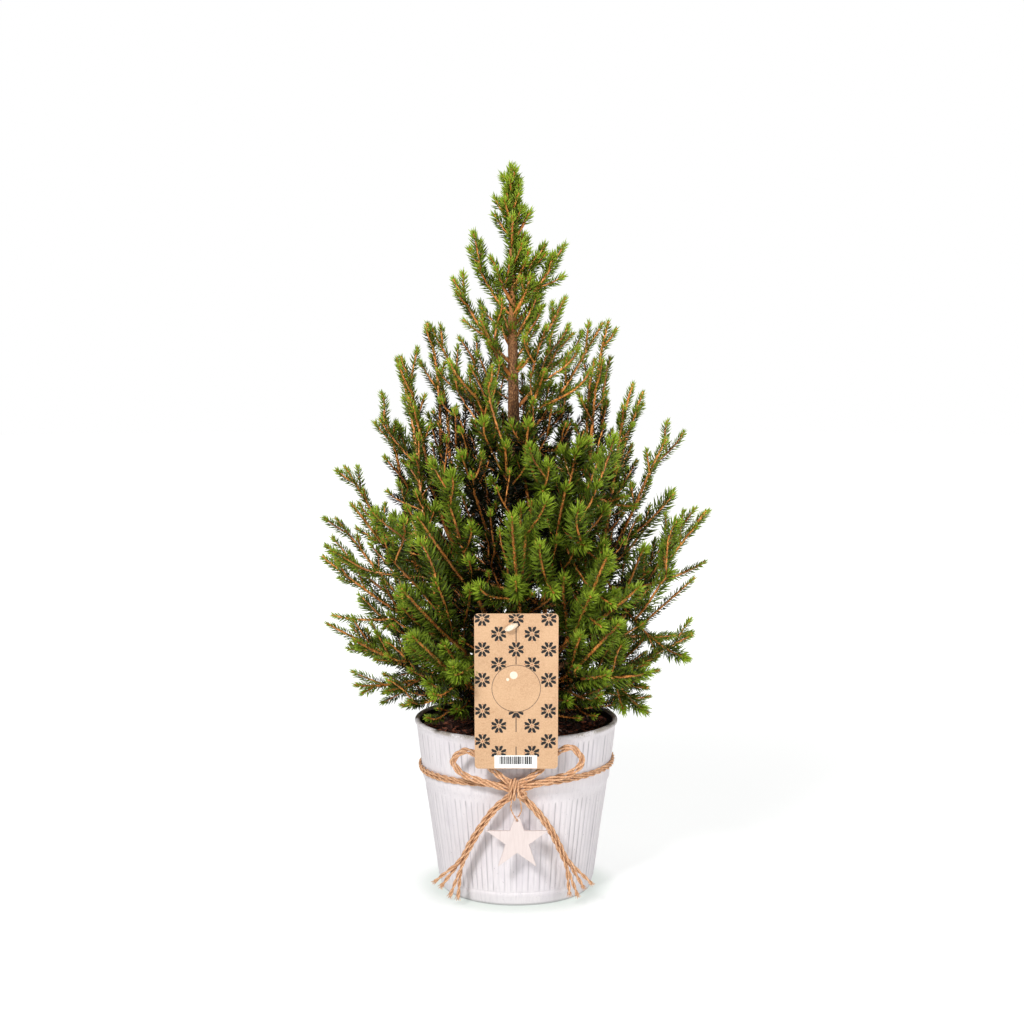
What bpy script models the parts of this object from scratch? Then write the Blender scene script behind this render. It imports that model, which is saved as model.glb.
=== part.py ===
"""A young alberta spruce in a whitewashed zinc pot, with a jute bow, a hanging star and a card tag.

Metres, +Z up. The origin is the middle of the pot's flat underside, and the front of the
piece, with the bow and the tag, faces -Y. Azimuths are degrees from +X, anticlockwise.
"""

import math

import bmesh
import bpy
from mathutils import Vector, noise
from mathutils.bvhtree import BVHTree

GAP = 0.0003  # between pieces that touch

# ---------------------------------------------------------------- driving dimensions
TREE_TOP = 0.650
POT_HEIGHT = 0.154
BASE_RADIUS = 0.0685
LOWER_WALL_TOP = 0.097
LOWER_WALL_TOP_RADIUS = 0.0822
UPPER_WALL_FOOT = 0.101
UPPER_WALL_FOOT_RADIUS = 0.0838
UPPER_WALL_TOP_RADIUS = 0.0897
RIM_RADIUS = 0.0913
RIM_BEAD = 0.0022
WALL = 0.0015
POT_FLOOR = 0.003
POT_SEGMENTS = 36

SOIL_EDGE = 0.1455
SOIL_TOP = 0.1480
SOIL_FLAT_RADIUS = 0.022

TRUNK_FOOT = SOIL_TOP + GAP
TRUNK_TIP = TREE_TOP - 0.010
TRUNK_LEAN = Vector((-0.0040, 0.0015, 0))
# height above the soil as a share of the trunk, and the radius there
TRUNK_RADII = (
    (0, 0.0105),
    (0.03, 0.0085),
    (0.12, 0.0075),
    (0.45, 0.0058),
    (0.68, 0.0043),
    (0.85, 0.0024),
    (1, 0.0011),
)
TRUNK_RINGS = (0, 0.015, 0.03, 0.07, 0.12, 0.25, 0.38, 0.52, 0.68, 0.78, 0.88, 1)  # shares of its height

# the crown's outline: height, and how far from the pot's axis the shoots reach there
CROWN_OUTLINE = (
    (0.150, 0.100),
    (0.200, 0.155),
    (0.250, 0.172),
    (0.340, 0.168),
    (0.385, 0.157),
    (0.410, 0.137),
    (0.460, 0.109),
    (0.510, 0.082),
    (0.550, 0.057),
    (0.580, 0.040),
    (0.650, 0.002),
)
CROWN_FOOT = POT_HEIGHT + 0.0012
FRONT_DEPTH = 0.92  # the crown is a little flatter towards the front

# One limb for each mass: azimuth, height of its root on the trunk, height of its tip,
# then how far its second leading shoot turns from it and rises above it.
LIMBS = {
    "low_right": (350, 0.166, 0.228, -15, -0.050),
    "low_front_right": (303, 0.168, 0.252, 16, -0.042),
    "low_front_left": (233, 0.164, 0.244, 14, -0.026),
    "low_left": (187, 0.166, 0.243, 17, -0.050),
    "low_back_left": (128, 0.165, 0.215, 23, 0.030),
    "low_back_right": (74, 0.168, 0.235, -27, -0.035),
    "mid_right": (2, 0.185, 0.297, -10, 0.047),
    "mid_front_right": (308, 0.195, 0.298, -13, 0.022),
    "mid_front": (273, 0.205, 0.352, -16, -0.057),
    "mid_front_left": (229, 0.190, 0.287, -4, 0.059),
    "mid_left": (180, 0.185, 0.300, -9, 0.030),
    "mid_back_left": (104, 0.192, 0.300, 22, 0.045),
    "mid_back_right": (48, 0.195, 0.315, -24, 0.035),
    "upper_right": (356, 0.210, 0.409, -21, -0.064),
    "upper_front_right": (304, 0.225, 0.409, -12, -0.036),
    "upper_front_left": (241, 0.220, 0.398, -8, -0.036),
    "upper_left": (172, 0.205, 0.382, 9, 0.048),
    "upper_back_left": (142, 0.225, 0.385, 14, 0.035),
    "upper_back_right": (78, 0.230, 0.400, -28, -0.030),
    "high_right": (8, 0.245, 0.457, -16, 0.053),
    "high_left": (187, 0.240, 0.479, -12, 0.030),
    "high_front": (279, 0.270, 0.425, -24, 0.045),
    "high_back": (108, 0.265, 0.450, -36, 0.035),
    "top_right": (350, 0.425, 0.532, 18, 0.047),
    "top_left": (172, 0.425, 0.548, 16, 0.028),
}
# More leading shoots of the masses that sit on the trunk: azimuth, height of the root,
# height of the tip, and how much of the crown's reach they take up.
MORE_SHOOTS = {
    "high_front": ((218, 0.300, 0.470, 0.75), (322, 0.300, 0.478, 0.78)),
    "high_back": ((152, 0.300, 0.492, 0.80), (38, 0.300, 0.488, 0.80)),
    "top_right": ((298, 0.410, 0.520, 0.60), (48, 0.410, 0.545, 0.70)),
    "top_left": ((236, 0.410, 0.528, 0.60), (120, 0.410, 0.550, 0.70)),
}
SWEEP = {"low": 1.25, "mid": 1.4, "upper": 1.8, "high": 2.1, "top": 1.2}  # how late a limb turns up
LOW_ROOT_HEIGHT, ROOT_SPREAD = 0.16, 0.25  # the lowest limb's root, and from there to the highest one's
LOW_ROOT_RADIUS, HIGH_ROOT_RADIUS = 0.0030, 0.0018
BOUGH_TAPER = 0.25
BOUGH_RINGS = 5
BOUGHLESS = ("high_front", "high_back", "top_right", "top_left")  # leafy right up to the trunk
MASS_START = 0.30  # share of a limb that is bare
LEAFY_START = 0.09  # the same for the masses that have no bough
BLUNT_FOOT, LEAFY_FOOT = 0.28, 0.12  # how far through its swelling a mass starts
NEEDLE_SLEEVE = 0.0125  # radius of a leading shoot with its needles
MASS_RADIUS = {"low": 0.029, "mid": 0.030, "upper": 0.028, "high": 0.023, "top": 0.016}
SECOND_SHARE, MORE_SHARE = 0.92, 0.85  # of that radius, round a second shoot and round any more
FINGER_RINGS = 10
LEADER_FOOT = TREE_TOP - 0.140
LEADER_HEAD = TREE_TOP - 0.0045
# share of the leader's length, and the radius of its sleeve of shoots there
LEADER_RADII = ((0, 0.0170), (0.2, 0.0210), (0.5, 0.0185), (0.75, 0.0145), (0.92, 0.0110), (1, 0.0060))
MASS_VOXEL = 0.0045
MASS_BUMPS = ((45, 0.0045), (110, 0.002))  # bumps to the metre, and their height
MASS_TRIANGLES = 62  # for a mass of two fingers
MASS_ROOM = 0.0008  # kept between one mass and the next

BAND_HEIGHT = 0.1133
BAND_TILT = 0.0026  # how much higher it runs on the right than in the middle
BAND_SECTION = Vector((0.0013, 0.0028))  # half of its depth and of its height
TWINE = 0.0030  # thickness of one jute strand
KNOT_CENTRE = Vector((-0.0010, -0.0935, 0.1110))
KNOT_HALF = Vector((0.0062, 0.0048, 0.0085))
BOW_RADIUS = 0.0026  # two strands side by side
# from the knot, up behind the tag, round the outer end and back along the band
LEFT_LOOP = (
    Vector((-0.003, -0.0935, 0.1145)),
    Vector((-0.019, -0.0945, 0.1265)),
    Vector((-0.032, -0.0950, 0.1400)),
    Vector((-0.044, -0.0935, 0.1440)),
    Vector((-0.0540, -0.0905, 0.1340)),
    Vector((-0.0470, -0.0905, 0.1240)),
    Vector((-0.030, -0.0925, 0.1175)),
    Vector((-0.003, -0.0935, 0.1100)),
)
RIGHT_LOOP = (
    Vector((0.001, -0.0935, 0.1145)),
    Vector((0.019, -0.0945, 0.1265)),
    Vector((0.033, -0.0950, 0.1420)),
    Vector((0.046, -0.0935, 0.1470)),
    Vector((0.0557, -0.0905, 0.1330)),
    Vector((0.0480, -0.0905, 0.1250)),
    Vector((0.030, -0.0925, 0.1190)),
    Vector((0.001, -0.0935, 0.1100)),
)
LEFT_TAIL = (
    Vector((-0.0030, -0.0912, 0.1050)),
    Vector((-0.020, -0.0900, 0.0790)),
    Vector((-0.038, -0.0820, 0.0480)),
    Vector((-0.060, -0.0700, 0.0100)),
)
RIGHT_TAIL = (
    Vector((0.0015, -0.0912, 0.1050)),
    Vector((0.017, -0.0900, 0.0850)),
    Vector((0.036, -0.0820, 0.0480)),
    Vector((0.056, -0.0700, 0.0115)),
)
TAIL_WIDTHS = ((0, 0.0055), (0.35, 0.0070), (0.7, 0.0110), (1, 0.0190))

STAR_CENTRE = Vector((0.0006, -0.0925, 0.0660))
STAR_RADIUS = 0.0278
STAR_THICKNESS = 0.0028
STAR_HOLE_RISE = 0.0177  # the hole's height over the star's centre
STAR_HOLE = 0.0011
STAR_EYE = 0.0030  # radius of the rounded top round the hole
STAR_EYE_STEPS = 4
STAR_TWINE = 0.0006  # radius

TAG_WIDTH, TAG_HEIGHT, TAG_THICKNESS, TAG_CORNER = 0.070, 0.135, 0.0010, 0.0035
TAG_MIDDLE = Vector((-0.0002, -0.1095, 0.1980))
TAG_TILT = math.radians(6)  # the foliage pushes its top outwards
TAG_SLOT_RISE = 0.0580  # from the tag's middle
TAG_SLOT = 0.0026  # radius
TAG_ROOM = 0.0035  # kept clear behind and beside the tag
TIE_RADIUS = 0.0012


# ---------------------------------------------------------------- helpers
def clear_scene():
    for thing in list(bpy.data.objects):
        bpy.data.objects.remove(thing)


def new_collection(name):
    made = bpy.data.collections.new(name)
    bpy.context.scene.collection.children.link(made)
    return made


def finish(name, colour, roughness, metallic=0.0):
    made = bpy.data.materials.new(name)
    made.use_nodes = True
    shader = made.node_tree.nodes["Principled BSDF"]
    shader.inputs["Base Color"].default_value = (*colour, 1)
    shader.inputs["Roughness"].default_value = roughness
    shader.inputs["Metallic"].default_value = metallic
    return made


def place(name, data, material, collection):
    made = bpy.data.objects.new(name, data)
    collection.objects.link(made)
    made.data.materials.append(material)
    return made


def blend(table, x):
    """The value at x in a table of (x, value), straight between its points."""
    if x <= table[0][0]:
        return table[0][1]
    for (x0, y0), (x1, y1) in zip(table, table[1:]):
        if x <= x1:
            return y0 + (y1 - y0) * (x - x0) / (x1 - x0)
    return table[-1][1]


def polar(azimuth, reach, height):
    angle = math.radians(azimuth)
    return Vector((reach * math.cos(angle), reach * math.sin(angle), height))


def turned(name, profile, segments, material, collection):
    """A profile of (radius, height) points turned about the Z axis."""
    mesh = bpy.data.meshes.new(name)
    mesh.from_pydata([(r, 0, z) for r, z in profile], [(i, i + 1) for i in range(len(profile) - 1)], [])
    made = place(name, mesh, material, collection)
    screw = made.modifiers.new("Turn", "SCREW")
    screw.steps = screw.render_steps = segments
    screw.use_merge_vertices = True
    screw.merge_threshold = 0.0001
    screw.use_smooth_shade = True
    return made


def tube(name, points, radii, material, collection, sides=6, cyclic=False):
    """A round tube through the points, as a poly curve with filled caps."""
    curve = bpy.data.curves.new(name, "CURVE")
    curve.dimensions = "3D"
    curve.bevel_depth = 1.0
    curve.bevel_resolution = sides // 2 - 2
    curve.use_fill_caps = True
    spline = curve.splines.new("POLY")
    spline.points.add(len(points) - 1)
    for knot, place_of, radius in zip(spline.points, points, radii):
        knot.co = (*place_of, 1)
        knot.radius = radius
    spline.use_cyclic_u = cyclic
    return place(name, curve, material, collection)


def as_mesh(made, weld=True):
    """Turns an object, with its modifiers, into a plain mesh in its place."""
    bpy.context.view_layer.update()
    graph = bpy.context.evaluated_depsgraph_get()
    mesh = bpy.data.meshes.new_from_object(made.evaluated_get(graph))
    mesh.transform(made.matrix_world)
    name, collections = made.name, list(made.users_collection)
    bpy.data.objects.remove(made)
    work = bmesh.new()
    work.from_mesh(mesh)
    if weld:
        bmesh.ops.remove_doubles(work, verts=work.verts, dist=1e-6)
        bmesh.ops.recalc_face_normals(work, faces=work.faces[:])
    work.to_mesh(mesh)
    work.free()
    fresh = bpy.data.objects.new(name, mesh)
    collections[0].objects.link(fresh)
    return fresh


def smooth_path(knots, count):
    """Points of a Catmull-Rom curve through the knots, evenly shared between them."""
    ends = [knots[0] * 2 - knots[1], *knots, knots[-1] * 2 - knots[-2]]
    spans = len(knots) - 1
    path = []
    for i in range(count):
        t = i / (count - 1) * spans
        k = min(int(t), spans - 1)
        t -= k
        a, b, c, d = ends[k : k + 4]
        path.append(
            0.5 * (2 * b + (c - a) * t + (2 * a - 5 * b + 4 * c - d) * t * t + (3 * b - a - 3 * c + d) * t**3)
        )
    return path


def cut(target, cutter, solver="EXACT"):
    step = target.modifiers.new("Cut", "BOOLEAN")
    step.operation = "DIFFERENCE"
    step.solver = solver
    step.object = cutter


def helper(made):
    made.hide_render = True
    made.display_type = "WIRE"
    return made


# ---------------------------------------------------------------- pot and soil
def wall_radius(height):
    """The pot's outer radius at a height."""
    return blend(
        (
            (0, BASE_RADIUS),
            (LOWER_WALL_TOP, LOWER_WALL_TOP_RADIUS),
            (UPPER_WALL_FOOT, UPPER_WALL_FOOT_RADIUS),
            (POT_HEIGHT - 2 * RIM_BEAD, UPPER_WALL_TOP_RADIUS),
        ),
        height,
    )


def rim_arc(count=7):
    """The rolled rim, from the inner wall over the top to the outer wall."""
    middle = RIM_RADIUS - RIM_BEAD, POT_HEIGHT - RIM_BEAD
    for i in range(count):
        angle = math.radians(160 - 250 * i / (count - 1))
        yield middle[0] + RIM_BEAD * math.cos(angle), middle[1] + RIM_BEAD * math.sin(angle)


def make_pot(material, collection):
    outer = [
        (UPPER_WALL_TOP_RADIUS, POT_HEIGHT - 2.4 * RIM_BEAD),
        (UPPER_WALL_FOOT_RADIUS, UPPER_WALL_FOOT),
        (LOWER_WALL_TOP_RADIUS, LOWER_WALL_TOP),
        (BASE_RADIUS + 0.0007, 0.005),
        (BASE_RADIUS, 0.0),
    ]
    inner = [(radius - WALL, height) for radius, height in reversed(outer[:4])]
    inner[0] = (inner[0][0], POT_FLOOR)
    profile = [(0, POT_FLOOR), *inner, *rim_arc(), *outer, (0, 0)]
    return turned("pot", profile, POT_SEGMENTS, material, collection)


def make_soil(material, collection):
    play = WALL + GAP
    profile = [
        (0, SOIL_TOP),
        (SOIL_FLAT_RADIUS, SOIL_TOP),
        (0.060, SOIL_EDGE + 0.0012),
        (wall_radius(SOIL_EDGE) - play - 0.0004, SOIL_EDGE),
        (UPPER_WALL_FOOT_RADIUS - play - 0.0002, UPPER_WALL_FOOT + 0.001),
        (LOWER_WALL_TOP_RADIUS - play - 0.0002, LOWER_WALL_TOP),
        (BASE_RADIUS + 0.0007 - play - 0.0002, POT_FLOOR + GAP),
        (0, POT_FLOOR + GAP),
    ]
    return turned("soil", profile, 24, material, collection)


# ---------------------------------------------------------------- trunk and boughs
def trunk_centre(height):
    rise = (height - TRUNK_FOOT) / (TRUNK_TIP - TRUNK_FOOT)
    bend = math.sin(0.5 * math.pi * min(max(rise, 0), 1)) ** 2
    return Vector((TRUNK_LEAN.x * bend, TRUNK_LEAN.y * bend, height))


def trunk_radius(height):
    return blend(TRUNK_RADII, (height - TRUNK_FOOT) / (TRUNK_TIP - TRUNK_FOOT))


def trunk_tube(name, extra, material, collection):
    heights = [TRUNK_FOOT + share * (TRUNK_TIP - TRUNK_FOOT) for share in TRUNK_RINGS]
    path = [trunk_centre(h) for h in heights]
    path[1].xy = path[0].xy
    return tube(name, path, [trunk_radius(h) + extra for h in heights], material, collection, 12)


def reach_at(height, azimuth):
    towards_front = max(0.0, -math.sin(math.radians(azimuth)))
    return blend(CROWN_OUTLINE, height) * (1 - (1 - FRONT_DEPTH) * towards_front)


def limb_point(name, root, tip, share):
    """A limb leaves the trunk flatly and sweeps up towards its tip."""
    climb = share ** SWEEP[name.split("_")[0]]
    return Vector((*root.lerp(tip, share).xy, root.z + (tip.z - root.z) * climb))


def limb_ends(name):
    azimuth, root_height, tip_height, turn, rise = LIMBS[name]
    root = trunk_centre(root_height)
    tip = polar(azimuth, reach_at(tip_height, azimuth), tip_height)
    twin_azimuth, twin_height = azimuth + turn, tip_height + rise
    twin = polar(twin_azimuth, reach_at(twin_height, twin_azimuth), twin_height)
    return root, tip, twin


def make_bough(name, material, collection, cutters):
    """The bare foot of a limb, from the trunk's bark to the flat face of its mass, and its room."""
    root, tip, _ = limb_ends(name)
    rank = (root.z - LOW_ROOT_HEIGHT) / ROOT_SPREAD
    foot_radius = LOW_ROOT_RADIUS + (HIGH_ROOT_RADIUS - LOW_ROOT_RADIUS) * rank
    direction = (limb_point(name, root, tip, 0.16) - limb_point(name, root, tip, 0.08)).normalized()
    clear = trunk_radius(root.z) + GAP + foot_radius * direction.z
    start = clear / ((tip - root).xy.length)
    rings = [i / (BOUGH_RINGS - 1) for i in range(BOUGH_RINGS)]
    points = [limb_point(name, root, tip, start + (MASS_START - start) * ring) for ring in rings]
    points[-1] -= (points[-1] - points[-2]).normalized() * GAP
    radii = [foot_radius * (1 - BOUGH_TAPER * ring) for ring in rings]
    tube("bough_" + name, points, radii, material, collection, 6)
    wider = [radius + 2 * GAP for radius in radii]
    return helper(as_mesh(tube("bough_" + name + "_room", points, wider, material, cutters, 6)))


# ---------------------------------------------------------------- foliage
def finger(name, root, tip, start, widest, foot):
    """Centreline and radii of one leading shoot with its side shoots, foot telling how blunt it starts."""
    points, radii = [], []
    for i in range(FINGER_RINGS):
        t = i / (FINGER_RINGS - 1)
        points.append(limb_point(name, root, tip, start + (1 - start) * t))
        swell = math.sin(math.pi * (foot + (1 - foot) * t)) ** 0.8
        radii.append(NEEDLE_SLEEVE * (1 - 0.45 * t**4) + (widest - NEEDLE_SLEEVE) * swell)
    return points, radii


def rounded(fingers, name, collection, triangles=MASS_TRIANGLES):
    """One closed, uneven solid round the fingers."""
    joined = bmesh.new()
    for points, radii in fingers:
        part = as_mesh(tube("finger", points, radii, None, collection, 10))
        joined.from_mesh(part.data)
        bpy.data.objects.remove(part)
    mesh = bpy.data.meshes.new(name)
    joined.to_mesh(mesh)
    joined.free()
    made = bpy.data.objects.new(name, mesh)
    collection.objects.link(made)
    skin = made.modifiers.new("Skin over", "REMESH")
    skin.mode = "VOXEL"
    skin.voxel_size = MASS_VOXEL
    made = as_mesh(made)
    for vertex in made.data.vertices:
        bump = sum(noise.noise(vertex.co * rate) * height for rate, height in MASS_BUMPS)
        vertex.co += vertex.normal * bump
    made.data.calc_loop_triangles()
    thin = made.modifiers.new("Thin out", "DECIMATE")
    thin.ratio = triangles / len(made.data.loop_triangles)
    return as_mesh(made)


def trim(made, point, normal):
    """Cuts off what lies beyond a plane, on the side its normal points to."""
    work = bmesh.new()
    work.from_mesh(made.data)
    everything = work.verts[:] + work.edges[:] + work.faces[:]
    bmesh.ops.bisect_plane(work, geom=everything, dist=1e-6, plane_co=point, plane_no=normal, clear_outer=True)
    bmesh.ops.holes_fill(work, edges=[edge for edge in work.edges if edge.is_boundary])
    bmesh.ops.triangulate(work, faces=work.faces[:])
    keep_largest(work)
    work.to_mesh(made.data)
    work.free()


def keep_largest(work):
    """Drops the crumbs that a cut leaves beside the main piece."""
    islands, seen = [], set()
    for first in work.verts:
        if first in seen:
            continue
        island, edge_of_search = {first}, [first]
        while edge_of_search:
            for edge in edge_of_search.pop().link_edges:
                for other in edge.verts:
                    if other not in island:
                        island.add(other)
                        edge_of_search.append(other)
        seen |= island
        islands.append(island)
    main_piece = max(islands, key=len)
    bmesh.ops.delete(work, geom=[v for v in work.verts if v not in main_piece], context="VERTS")
    bmesh.ops.recalc_face_normals(work, faces=work.faces[:])


def surface(made):
    work = bmesh.new()
    work.from_mesh(made.data)
    tree = BVHTree.FromBMesh(work)
    work.free()
    return tree


def grown(mass, cutters):
    """A slightly larger copy of a mass, which cuts room for it in its neighbours."""
    copy = helper(bpy.data.objects.new(mass.name + "_room", mass.data.copy()))
    cutters.objects.link(copy)
    for vertex in copy.data.vertices:
        vertex.co += vertex.normal * MASS_ROOM
    return copy


def part_neighbours(masses, cutters, bores):
    """Each mass gives way to the trunk and the tag, and to the masses under it."""
    finished = []
    for name, mass in masses.items():
        skin = surface(mass)
        for cutter in bores + finished:
            if skin.overlap(surface(cutter)):
                cut(mass, cutter, "MANIFOLD")
        masses[name] = mass = as_mesh(mass, weld=False)
        tidy = bmesh.new()
        tidy.from_mesh(mass.data)
        bmesh.ops.triangulate(tidy, faces=tidy.faces[:])
        keep_largest(tidy)
        tidy.to_mesh(mass.data)
        tidy.free()
        finished += [mass, grown(mass, cutters)]


def leader_shoot():
    """The mass round the trunk's top, narrow and pointed."""
    shares = [i / (FINGER_RINGS - 1) for i in range(FINGER_RINGS)]
    points = [trunk_centre(LEADER_FOOT + share * (LEADER_HEAD - LEADER_FOOT)) for share in shares]
    return points, [blend(LEADER_RADII, share) for share in shares]


def make_masses(material, collection, cutters, bores):
    masses = {"leader": rounded([leader_shoot()], "foliage_leader", collection)}
    top = max(masses["leader"].data.vertices, key=lambda vertex: vertex.co.z)
    top.co.z = TREE_TOP
    for name in LIMBS:
        tier = name.split("_")[0]
        root, tip, twin = limb_ends(name)
        start, foot = (LEAFY_START, LEAFY_FOOT) if name in BOUGHLESS else (MASS_START, BLUNT_FOOT)
        lead = finger(name, root, tip, start, MASS_RADIUS[tier], foot)
        fork = limb_point(name, root, tip, start)
        second = finger(name, fork, twin, 0, MASS_RADIUS[tier] * SECOND_SHARE, foot)
        fingers = [lead, second]
        for azimuth, root_height, tip_height, share in MORE_SHOOTS.get(name, ()):
            end = polar(azimuth, share * reach_at(tip_height, azimuth), tip_height)
            more = finger(name, trunk_centre(root_height), end, start, MASS_RADIUS[tier] * MORE_SHARE, foot)
            fingers.append(more)
        masses[name] = rounded(fingers, "foliage_" + name, collection, MASS_TRIANGLES * len(fingers) // 2)
        if name not in BOUGHLESS:
            entry = limb_point(name, root, tip, MASS_START)
            before = limb_point(name, root, tip, MASS_START - 0.04)
            trim(masses[name], entry, before - entry)
        trim(masses[name], Vector((0, 0, CROWN_FOOT)), Vector((0, 0, -1)))
    part_neighbours(masses, cutters, bores)
    for mass in masses.values():
        mass.data.materials.append(material)
    return masses


# ---------------------------------------------------------------- jute band and bow
def make_band(material, collection):
    """Two strands of twine round the pot, drawn as one flat oval ring that follows its wall."""
    ring_steps, section_steps = 40, 6
    mesh = bpy.data.meshes.new("band")
    work = bmesh.new()
    rings = []
    for i in range(ring_steps):
        azimuth = 2 * math.pi * i / ring_steps
        middle = BAND_HEIGHT + BAND_TILT * math.cos(azimuth)
        ring = []
        for j in range(section_steps):
            turn = 2 * math.pi * j / section_steps
            height = middle + BAND_SECTION.y * math.sin(turn)
            seat = wall_radius(height) / math.cos(math.pi / POT_SEGMENTS) + GAP
            radius = seat + BAND_SECTION.x * (1 + math.cos(turn))
            ring.append(work.verts.new((radius * math.cos(azimuth), radius * math.sin(azimuth), height)))
        rings.append(ring)
    for ring, following in zip(rings, rings[1:] + rings[:1]):
        for j in range(section_steps):
            k = (j + 1) % section_steps
            work.faces.new((ring[j], following[j], following[k], ring[k]))
    bmesh.ops.recalc_face_normals(work, faces=work.faces[:])
    work.to_mesh(mesh)
    work.free()
    return place("band", mesh, material, collection)


def knot_shape(name, grow, material, collection):
    mesh = bpy.data.meshes.new(name)
    work = bmesh.new()
    bmesh.ops.create_uvsphere(work, u_segments=10, v_segments=7, radius=1)
    size = [half + grow for half in KNOT_HALF]
    bmesh.ops.scale(work, vec=size, verts=work.verts)
    work.to_mesh(mesh)
    work.free()
    made = place(name, mesh, material, collection)
    made.location = KNOT_CENTRE
    return made


def make_bow(material, collection, knot_room):
    """Two loops and two splayed tails, which all end at the knot."""
    for name, knots in (("bow_left", LEFT_LOOP), ("bow_right", RIGHT_LOOP)):
        path = smooth_path(list(knots), 18)
        loop = as_mesh(tube(name, path, [BOW_RADIUS] * len(path), material, collection, 6))
        cut(loop, knot_room)
    for name, knots in (("tail_left", LEFT_TAIL), ("tail_right", RIGHT_TAIL)):
        path = smooth_path(list(knots), 9)
        work = bmesh.new()
        edges = []
        for i, point in enumerate(path):
            along = (path[min(i + 1, 8)] - path[max(i - 1, 0)]).normalized()
            side = along.cross(Vector((0, -1, 0))).normalized() * blend(TAIL_WIDTHS, i / 8) / 2
            edges.append([work.verts.new(point - side), work.verts.new(point), work.verts.new(point + side)])
        for row, below in zip(edges, edges[1:]):
            for j in range(2):
                work.faces.new((row[j], row[j + 1], below[j + 1], below[j]))
        mesh = bpy.data.meshes.new(name)
        work.to_mesh(mesh)
        work.free()
        tail = place(name, mesh, material, collection)
        body = tail.modifiers.new("Thickness of the strands", "SOLIDIFY")
        body.thickness = TWINE
        body.offset = 0
        cut(tail, knot_room)


# ---------------------------------------------------------------- star
def star_outline():
    """Five points, of which the top one is rounded round the hole."""
    waist = STAR_RADIUS * math.sin(math.radians(18)) / math.sin(math.radians(126))
    outline = []
    for i in range(10):
        angle = math.radians(90 + 36 * i)
        radius = STAR_RADIUS if i % 2 == 0 else waist
        if i == 0:
            for step in range(STAR_EYE_STEPS + 1):
                turn = math.pi * step / STAR_EYE_STEPS
                outline.append((STAR_EYE * math.cos(turn), STAR_HOLE_RISE + STAR_EYE * math.sin(turn)))
        else:
            outline.append((radius * math.cos(angle), radius * math.sin(angle)))
    return outline


def flat_piece(name, outline, hole, thickness, material, collection):
    """A flat outline with a hole, standing upright and facing -Y."""
    curve = bpy.data.curves.new(name, "CURVE")
    curve.dimensions = "2D"
    curve.fill_mode = "BOTH"
    curve.extrude = thickness / 2
    for points in (outline, hole):
        spline = curve.splines.new("POLY")
        spline.points.add(len(points) - 1)
        for knot, (x, y) in zip(spline.points, points):
            knot.co = (x, y, 0, 1)
        spline.use_cyclic_u = True
    made = place(name, curve, material, collection)
    made.rotation_euler.x = math.pi / 2
    return made


def hole_outline(x, y, radius, count=8):
    turns = [2 * math.pi * i / count for i in range(count)]
    return [(x + radius * math.cos(t), y + radius * math.sin(t)) for t in turns]


def make_star(wood, jute, collection, knot_room):
    hole = hole_outline(0, STAR_HOLE_RISE, STAR_HOLE)
    star = flat_piece("star", star_outline(), hole, STAR_THICKNESS, wood, collection)
    star.location = STAR_CENTRE
    as_mesh(star)
    eye = STAR_CENTRE + Vector((0, 0, STAR_HOLE_RISE))
    out = Vector((0, STAR_THICKNESS / 2 + STAR_TWINE + GAP, 0))
    over = Vector((0, 0, STAR_HOLE - STAR_TWINE - GAP))
    route = (
        Vector((-0.0035, -0.0960, 0.1065)),
        Vector((-0.0050, -0.0972, 0.0960)),
        eye - out * 1.4 + Vector((-0.0022, 0, 0.0045)),
        eye - out * 1.05 + over * 0.5,
        eye + over * 0.2,
        eye + out * 1.05 + over * 0.5,
        eye + out * 1.25 + Vector((0.0022, -0.001, 0.0065)),
        Vector((0.0040, -0.0965, 0.0960)),
        Vector((0.0020, -0.0960, 0.1065)),
    )
    path = smooth_path(list(route), 25)
    twine = as_mesh(tube("star_twine", path, [STAR_TWINE] * len(path), jute, collection, 6))
    cut(twine, knot_room)


# ---------------------------------------------------------------- tag
def tag_outline():
    outline = []
    for x, y, first in ((1, 1, 0), (-1, 1, 90), (-1, -1, 180), (1, -1, 270)):
        middle = x * (TAG_WIDTH / 2 - TAG_CORNER), y * (TAG_HEIGHT / 2 - TAG_CORNER)
        for step in range(4):
            turn = math.radians(first + 30 * step)
            outline.append((middle[0] + TAG_CORNER * math.cos(turn), middle[1] + TAG_CORNER * math.sin(turn)))
    return outline


def tag_room(material, cutters):
    """The space that the foliage leaves for the tag, from just behind it to the open air."""
    depth = 0.09
    mesh = bpy.data.meshes.new("tag_room")
    work = bmesh.new()
    bmesh.ops.create_cube(work, size=1)
    size = (TAG_WIDTH + 2 * TAG_ROOM, depth, TAG_HEIGHT + 2 * TAG_ROOM)
    bmesh.ops.scale(work, vec=size, verts=work.verts)
    bmesh.ops.translate(work, vec=(0, TAG_ROOM - depth / 2, 0), verts=work.verts)
    work.to_mesh(mesh)
    work.free()
    made = place("tag_room", mesh, material, cutters)
    made.location = TAG_MIDDLE
    made.rotation_euler.x = TAG_TILT
    return helper(as_mesh(made))


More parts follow.
